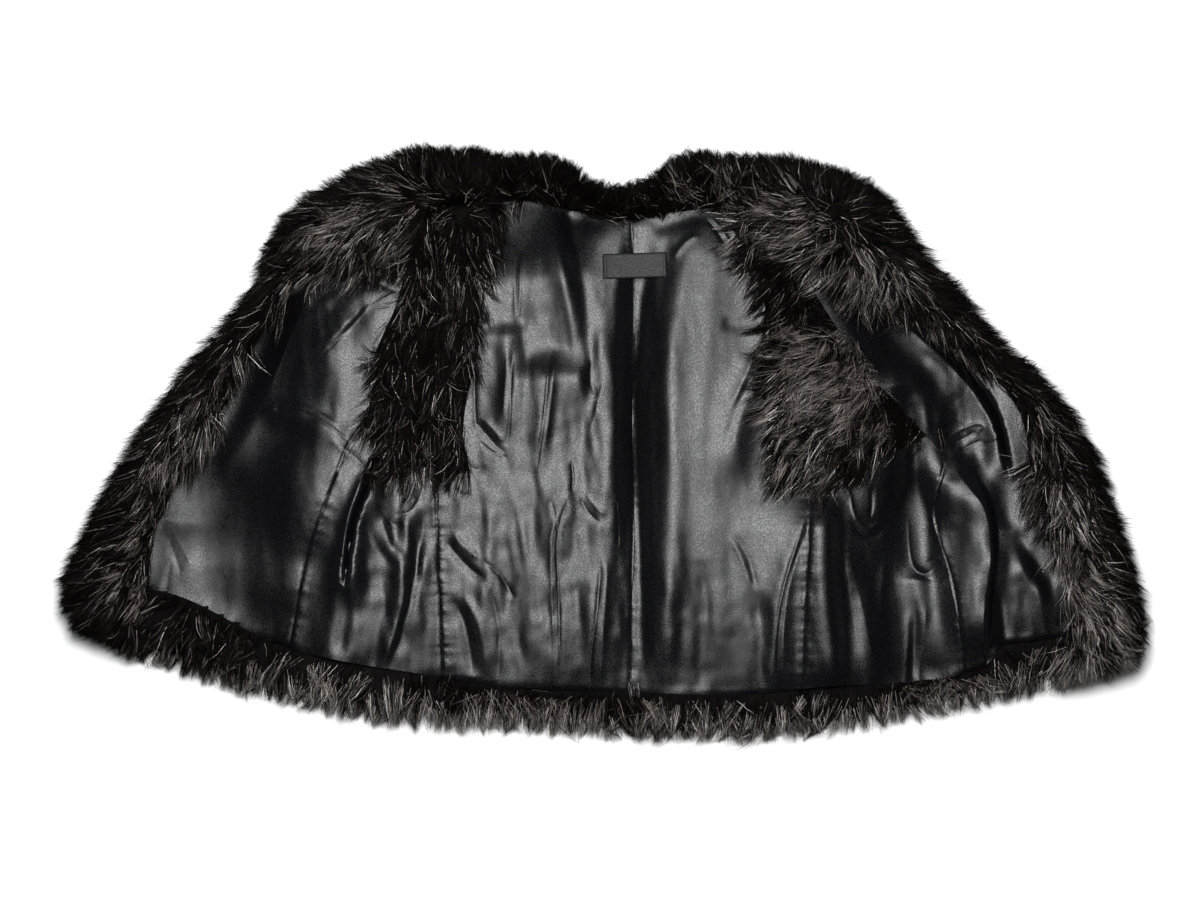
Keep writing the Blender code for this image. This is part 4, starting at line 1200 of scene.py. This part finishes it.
def ramp(tree, value, stops):
    """Stops of (position, colour), as a colour ramp on the value."""
    node = tree.nodes.new("ShaderNodeValToRGB")
    elements = node.color_ramp.elements
    for i, (position, colour) in enumerate(stops):
        element = elements[i] if i < 2 else elements.new(position)
        element.position = position
        element.color = (*colour, 1.0)
    tree.links.new(value, node.inputs["Fac"])
    return node.outputs["Color"]


def grey(value):
    return (value, value, value)


def relief(tree, shader, height, strength, distance):
    bump = tree.nodes.new("ShaderNodeBump")
    bump.inputs["Strength"].default_value = strength
    bump.inputs["Distance"].default_value = distance
    tree.links.new(height, bump.inputs["Height"])
    tree.links.new(bump.outputs["Normal"], shader.inputs["Normal"])


def satin_finish(name, dark, pale, rough):
    """Black satin: blue-black threads, a sheen that varies softly, and the fine grain of the weave."""
    made, tree, shader = shader_of(name, dark, 0.3, 0.22)
    cloudy = object_noise(tree, 9.0, (1.0, 0.6, 1.0), 4.0)
    tree.links.new(ramp(tree, cloudy, ((0.3, dark), (0.75, pale))), shader.inputs["Base Color"])
    slubs = object_noise(tree, 800.0, (1.0, 0.75, 1.0), 1.0)
    stops = ((0.36, grey(rough - 0.05)), (0.64, grey(rough + 0.08)))
    tree.links.new(ramp(tree, slubs, stops), shader.inputs["Roughness"])
    relief(tree, shader, object_noise(tree, 1500.0, (1.0, 0.8, 1.0), 2.0), 0.5, 0.25 * MM)
    return made


def hair_finish(name, dark, pale, roughness, specular):
    """Hair of one tone, which varies from lock to lock."""
    made, tree, shader = shader_of(name, dark, roughness, specular)
    tone = object_noise(tree, 70.0, (1.0, 1.0, 1.0), 4.0)
    tree.links.new(ramp(tree, tone, ((0.3, dark), (0.7, pale))), shader.inputs["Base Color"])
    return made


def skin_finish(name):
    """The dense underfur: dark, with fine bristle in its relief."""
    made, tree, shader = shader_of(name, (0.0012, 0.0009, 0.0008), 0.75, 0.06)
    tone = object_noise(tree, 160.0, (1.0, 1.0, 1.0), 5.0)
    stops = ((0.3, (0.0005, 0.0004, 0.0004)), (0.75, (0.002, 0.0014, 0.0012)))
    tree.links.new(ramp(tree, tone, stops), shader.inputs["Base Color"])
    relief(tree, shader, object_noise(tree, 520.0, (1.0, 0.35, 1.0), 3.0), 0.8, 1.2 * MM)
    return made


satin = satin_finish("black_satin", (0.0010, 0.0010, 0.0013), (0.0022, 0.0023, 0.0030), 0.28)
label_satin = satin_finish("label_satin", (0.003, 0.003, 0.0034), (0.005, 0.005, 0.0056), 0.52)
thread = hair_finish("stitch_thread", (0.002, 0.002, 0.002), (0.006, 0.006, 0.007), 0.6, 0.3)
underfur = skin_finish("underfur")
hairs = (
    hair_finish("hair_dark", (0.0004, 0.00024, 0.00018), (0.0024, 0.0015, 0.0012), 0.5, 0.03),
    hair_finish("hair_brown", (0.006, 0.0038, 0.003), (0.018, 0.0122, 0.0096), 0.42, 0.16),
    hair_finish("hair_pale", (0.10, 0.086, 0.076), (0.32, 0.285, 0.26), 0.34, 0.7),
)

FINE = fine_places()
satins = {node: satin_piece(node.replace("lining", "satin"), node, satin) for node in LININGS}
SATIN_LOW = lowest_around(heights_of(one_tree(satins.values()))) - 2 * SATIN_THICK

skins = {node: skin_piece(node.replace("fur", "underfur"), node, underfur) for node in FURS}
SKINS_TOP = heights_of(one_tree([*satins.values(), *skins.values()])).clip(0, None)

for number, node in enumerate(FURS):
    hair_piece(node.replace("fur", "hair"), node, skins[node], SKINS_TOP, hairs, HAIR_SEED + number)


# The label, blank, and the stitches.


STITCH_LONG, STITCH_WIDE, STITCH_LIFT = 1.5 * MM, 0.5 * MM, 0.1 * MM
STITCHED = {"right_side": 2.2, "left_side": 2.4, "centre_back": 3.0}  # seams that show stitches: pitch in mm


def label_piece(name):
    """A folded strip of woven satin, blank, with its short ends turned under."""
    columns, rows = range(LABEL_COLUMNS), range(LABEL_ROWS)
    u = np.linspace(-0.5, 0.5, LABEL_COLUMNS)
    v = np.linspace(0.5, -0.5, LABEL_ROWS)
    across, down = np.meshgrid(u * LABEL_SIZE[0], v * LABEL_SIZE[1])
    x = LABEL_AT[0] + across * math.cos(LABEL_TURN) - down * math.sin(LABEL_TURN)
    y = LABEL_AT[1] + across * math.sin(LABEL_TURN) + down * math.cos(LABEL_TURN)
    ends = LABEL_SIZE[0] / 2 - np.abs(across)
    rim = np.minimum(ends, LABEL_SIZE[1] / 2 - np.abs(down))
    z = sample(CLOTH, *LABEL_AT) + LABEL_LIFT - LABEL_FALL * across / LABEL_SIZE[0]
    z = z - LABEL_SAG * (1 - (2 * across / LABEL_SIZE[0]) ** 2)
    turned_under = 0.35 * MM * np.exp(-(((ends - 2.2 * MM) / (1.2 * MM)) ** 2))
    z = z + 0.7 * MM * (1 - np.exp(-rim / (0.5 * MM))) + turned_under
    z = z + 0.12 * MM * layered(x, y, LABEL_WAVES)
    bm = bmesh.new()
    top, low = [
        [[bm.verts.new((x[r, c], y[r, c], z[r, c] - depth)) for c in columns] for r in rows]
        for depth in (0, LABEL_THICK)
    ]
    for r in rows[:-1]:
        for c in columns[:-1]:
            bm.faces.new((top[r][c], top[r + 1][c], top[r + 1][c + 1], top[r][c + 1]))
            bm.faces.new((low[r][c], low[r][c + 1], low[r + 1][c + 1], low[r + 1][c]))
    ring = [(0, c) for c in columns[:-1]] + [(r, columns[-1]) for r in rows[:-1]]
    ring += [(rows[-1], c) for c in columns[:0:-1]] + [(r, 0) for r in rows[:0:-1]]
    for (ra, ca), (rb, cb) in zip(ring, ring[1:] + ring[:1]):
        bm.faces.new((top[ra][ca], top[rb][cb], low[rb][cb], low[ra][ca]))
    bmesh.ops.recalc_face_normals(bm, faces=bm.faces)
    mesh = mesh_of(bm, name)
    mesh.materials.append(label_satin)
    mesh.shade_smooth()
    mesh.set_sharp_from_angle(angle=math.radians(55))
    return on_root(link(name, mesh), "label")


def stitch_row(bm, run, pitch):
    """Small threads in a row along a run of places in the plan."""
    run = smooth_run(run, 4)
    at = along_run(run)
    along = np.arange(pitch, at[-1], pitch)
    x, y = np.interp(along, at, run[:, 0]), np.interp(along, at, run[:, 1])
    way = np.arctan2(np.gradient(y), np.gradient(x))
    z = satin_height(x, y) + STITCH_LIFT
    for px, py, pz, turn in zip(x, y, z, way):
        c, s = math.cos(turn), math.sin(turn)
        rings = []
        for t in (-1.0, -0.5, 0.5, 1.0):
            girth = math.sqrt(max(0.04, 1 - t * t)) * STITCH_WIDE / 2
            ring = []
            for k in range(4):
                a = k * math.pi / 2
                side, up = girth * math.cos(a), girth * math.sin(a)
                forth = t * STITCH_LONG / 2
                ring.append(bm.verts.new((px + forth * c - side * s, py + forth * s + side * c, pz + up)))
            rings.append(ring)
        ringed(bm, rings)
        bm.faces.new(rings[0])
        bm.faces.new(rings[-1][::-1])


label = label_piece("label_blank")

bm = bmesh.new()
for name, pitch in STITCHED.items():
    run = photo_places(SEAMS[name][2:])
    stitch_row(bm, run[1:] if name == "centre_back" else run, pitch * MM)
mesh = mesh_of(bm, "seam_stitches")
mesh.materials.append(thread)
mesh.shade_smooth()
on_root(link("seam_stitches", mesh))


# Camera, floor and light.

centre_x, centre_y = from_photo(*PHOTO_CENTRE)
tilt = math.radians(90 - CAMERA_ELEVATION)
lens = bpy.data.cameras.new("camera")
lens.sensor_width = SENSOR * 1000
lens.lens = 1000 * SENSOR * CAMERA_AWAY / (PHOTO_WIDTH * PIXEL)
lens.clip_end = 20
camera = link("camera", lens)
low_y, high_z = centre_y - CAMERA_AWAY * math.sin(tilt), CAMERA_AIM + CAMERA_AWAY * math.cos(tilt)
camera.location = (centre_x, low_y, high_z)
camera.rotation_euler = (tilt, 0, 0)
bpy.context.scene.camera = camera

COVE_RADIUS = 5.5
COVE_BEND = 1.0
COVE_BEND_STEPS = 8
COVE_HEIGHT = 2.2
COVE_SIDES = 96
COVE_LIGHTS = 6


def studio_floor():
    """A pale floor that turns up into a low round wall, far outside the cameras."""
    profile = [(0.02, 0.0), (1.5, 0.0), (3.0, 0.0), (COVE_RADIUS - COVE_BEND, 0.0)]
    for step in range(1, COVE_BEND_STEPS + 1):
        a = math.radians(90 * step / COVE_BEND_STEPS)
        profile.append((COVE_RADIUS - COVE_BEND * (1 - math.sin(a)), COVE_BEND * (1 - math.cos(a))))
    profile.append((COVE_RADIUS, COVE_HEIGHT))
    turns = [2 * math.pi * k / COVE_SIDES for k in range(COVE_SIDES)]
    bm = bmesh.new()
    rings = [[bm.verts.new((r * math.cos(t), r * math.sin(t), z)) for t in turns] for r, z in profile]
    bm.faces.new(rings[0])
    ringed(bm, rings)
    mesh = mesh_of(bm, "floor")
    mesh.shade_smooth()
    return mesh


floor = link("floor", studio_floor())
floor.data.materials.append(shader_of("floor_paper", grey(0.86), 0.9, 0.1)[0])


def soft_light(name, size, power, place, target=(0.0, 0.0, 0.0)):
    light = bpy.data.lights.new(name, "AREA")
    light.shape = "RECTANGLE"
    light.size, light.size_y = size
    light.energy = power
    made = link(name, light)
    made.location = place
    made.rotation_euler = (Vector(target) - Vector(place)).to_track_quat("-Z", "Y").to_euler()
    made.visible_camera = False


soft_light("overhead", (0.82, 0.75), 62.0, (-0.03, 0.26, 1.9))
for number in range(COVE_LIGHTS):
    turn = math.radians(360 / COVE_LIGHTS * number)
    c, s = math.cos(turn), math.sin(turn)
    outward = (COVE_RADIUS * c, COVE_RADIUS * s, 0.3)
    soft_light(f"cove_{number}", (1.2, 0.5), 26.0, (1.9 * c, 1.9 * s, 1.5), outward)

world = bpy.context.scene.world or bpy.data.worlds.new("world")
bpy.context.scene.world = world
world.use_nodes = True
background = world.node_tree.nodes["Background"]
background.inputs["Color"].default_value = (0.95, 0.97, 1.0, 1.0)
background.inputs["Strength"].default_value = 0.03
bpy.context.scene.view_settings.view_transform = "Standard"
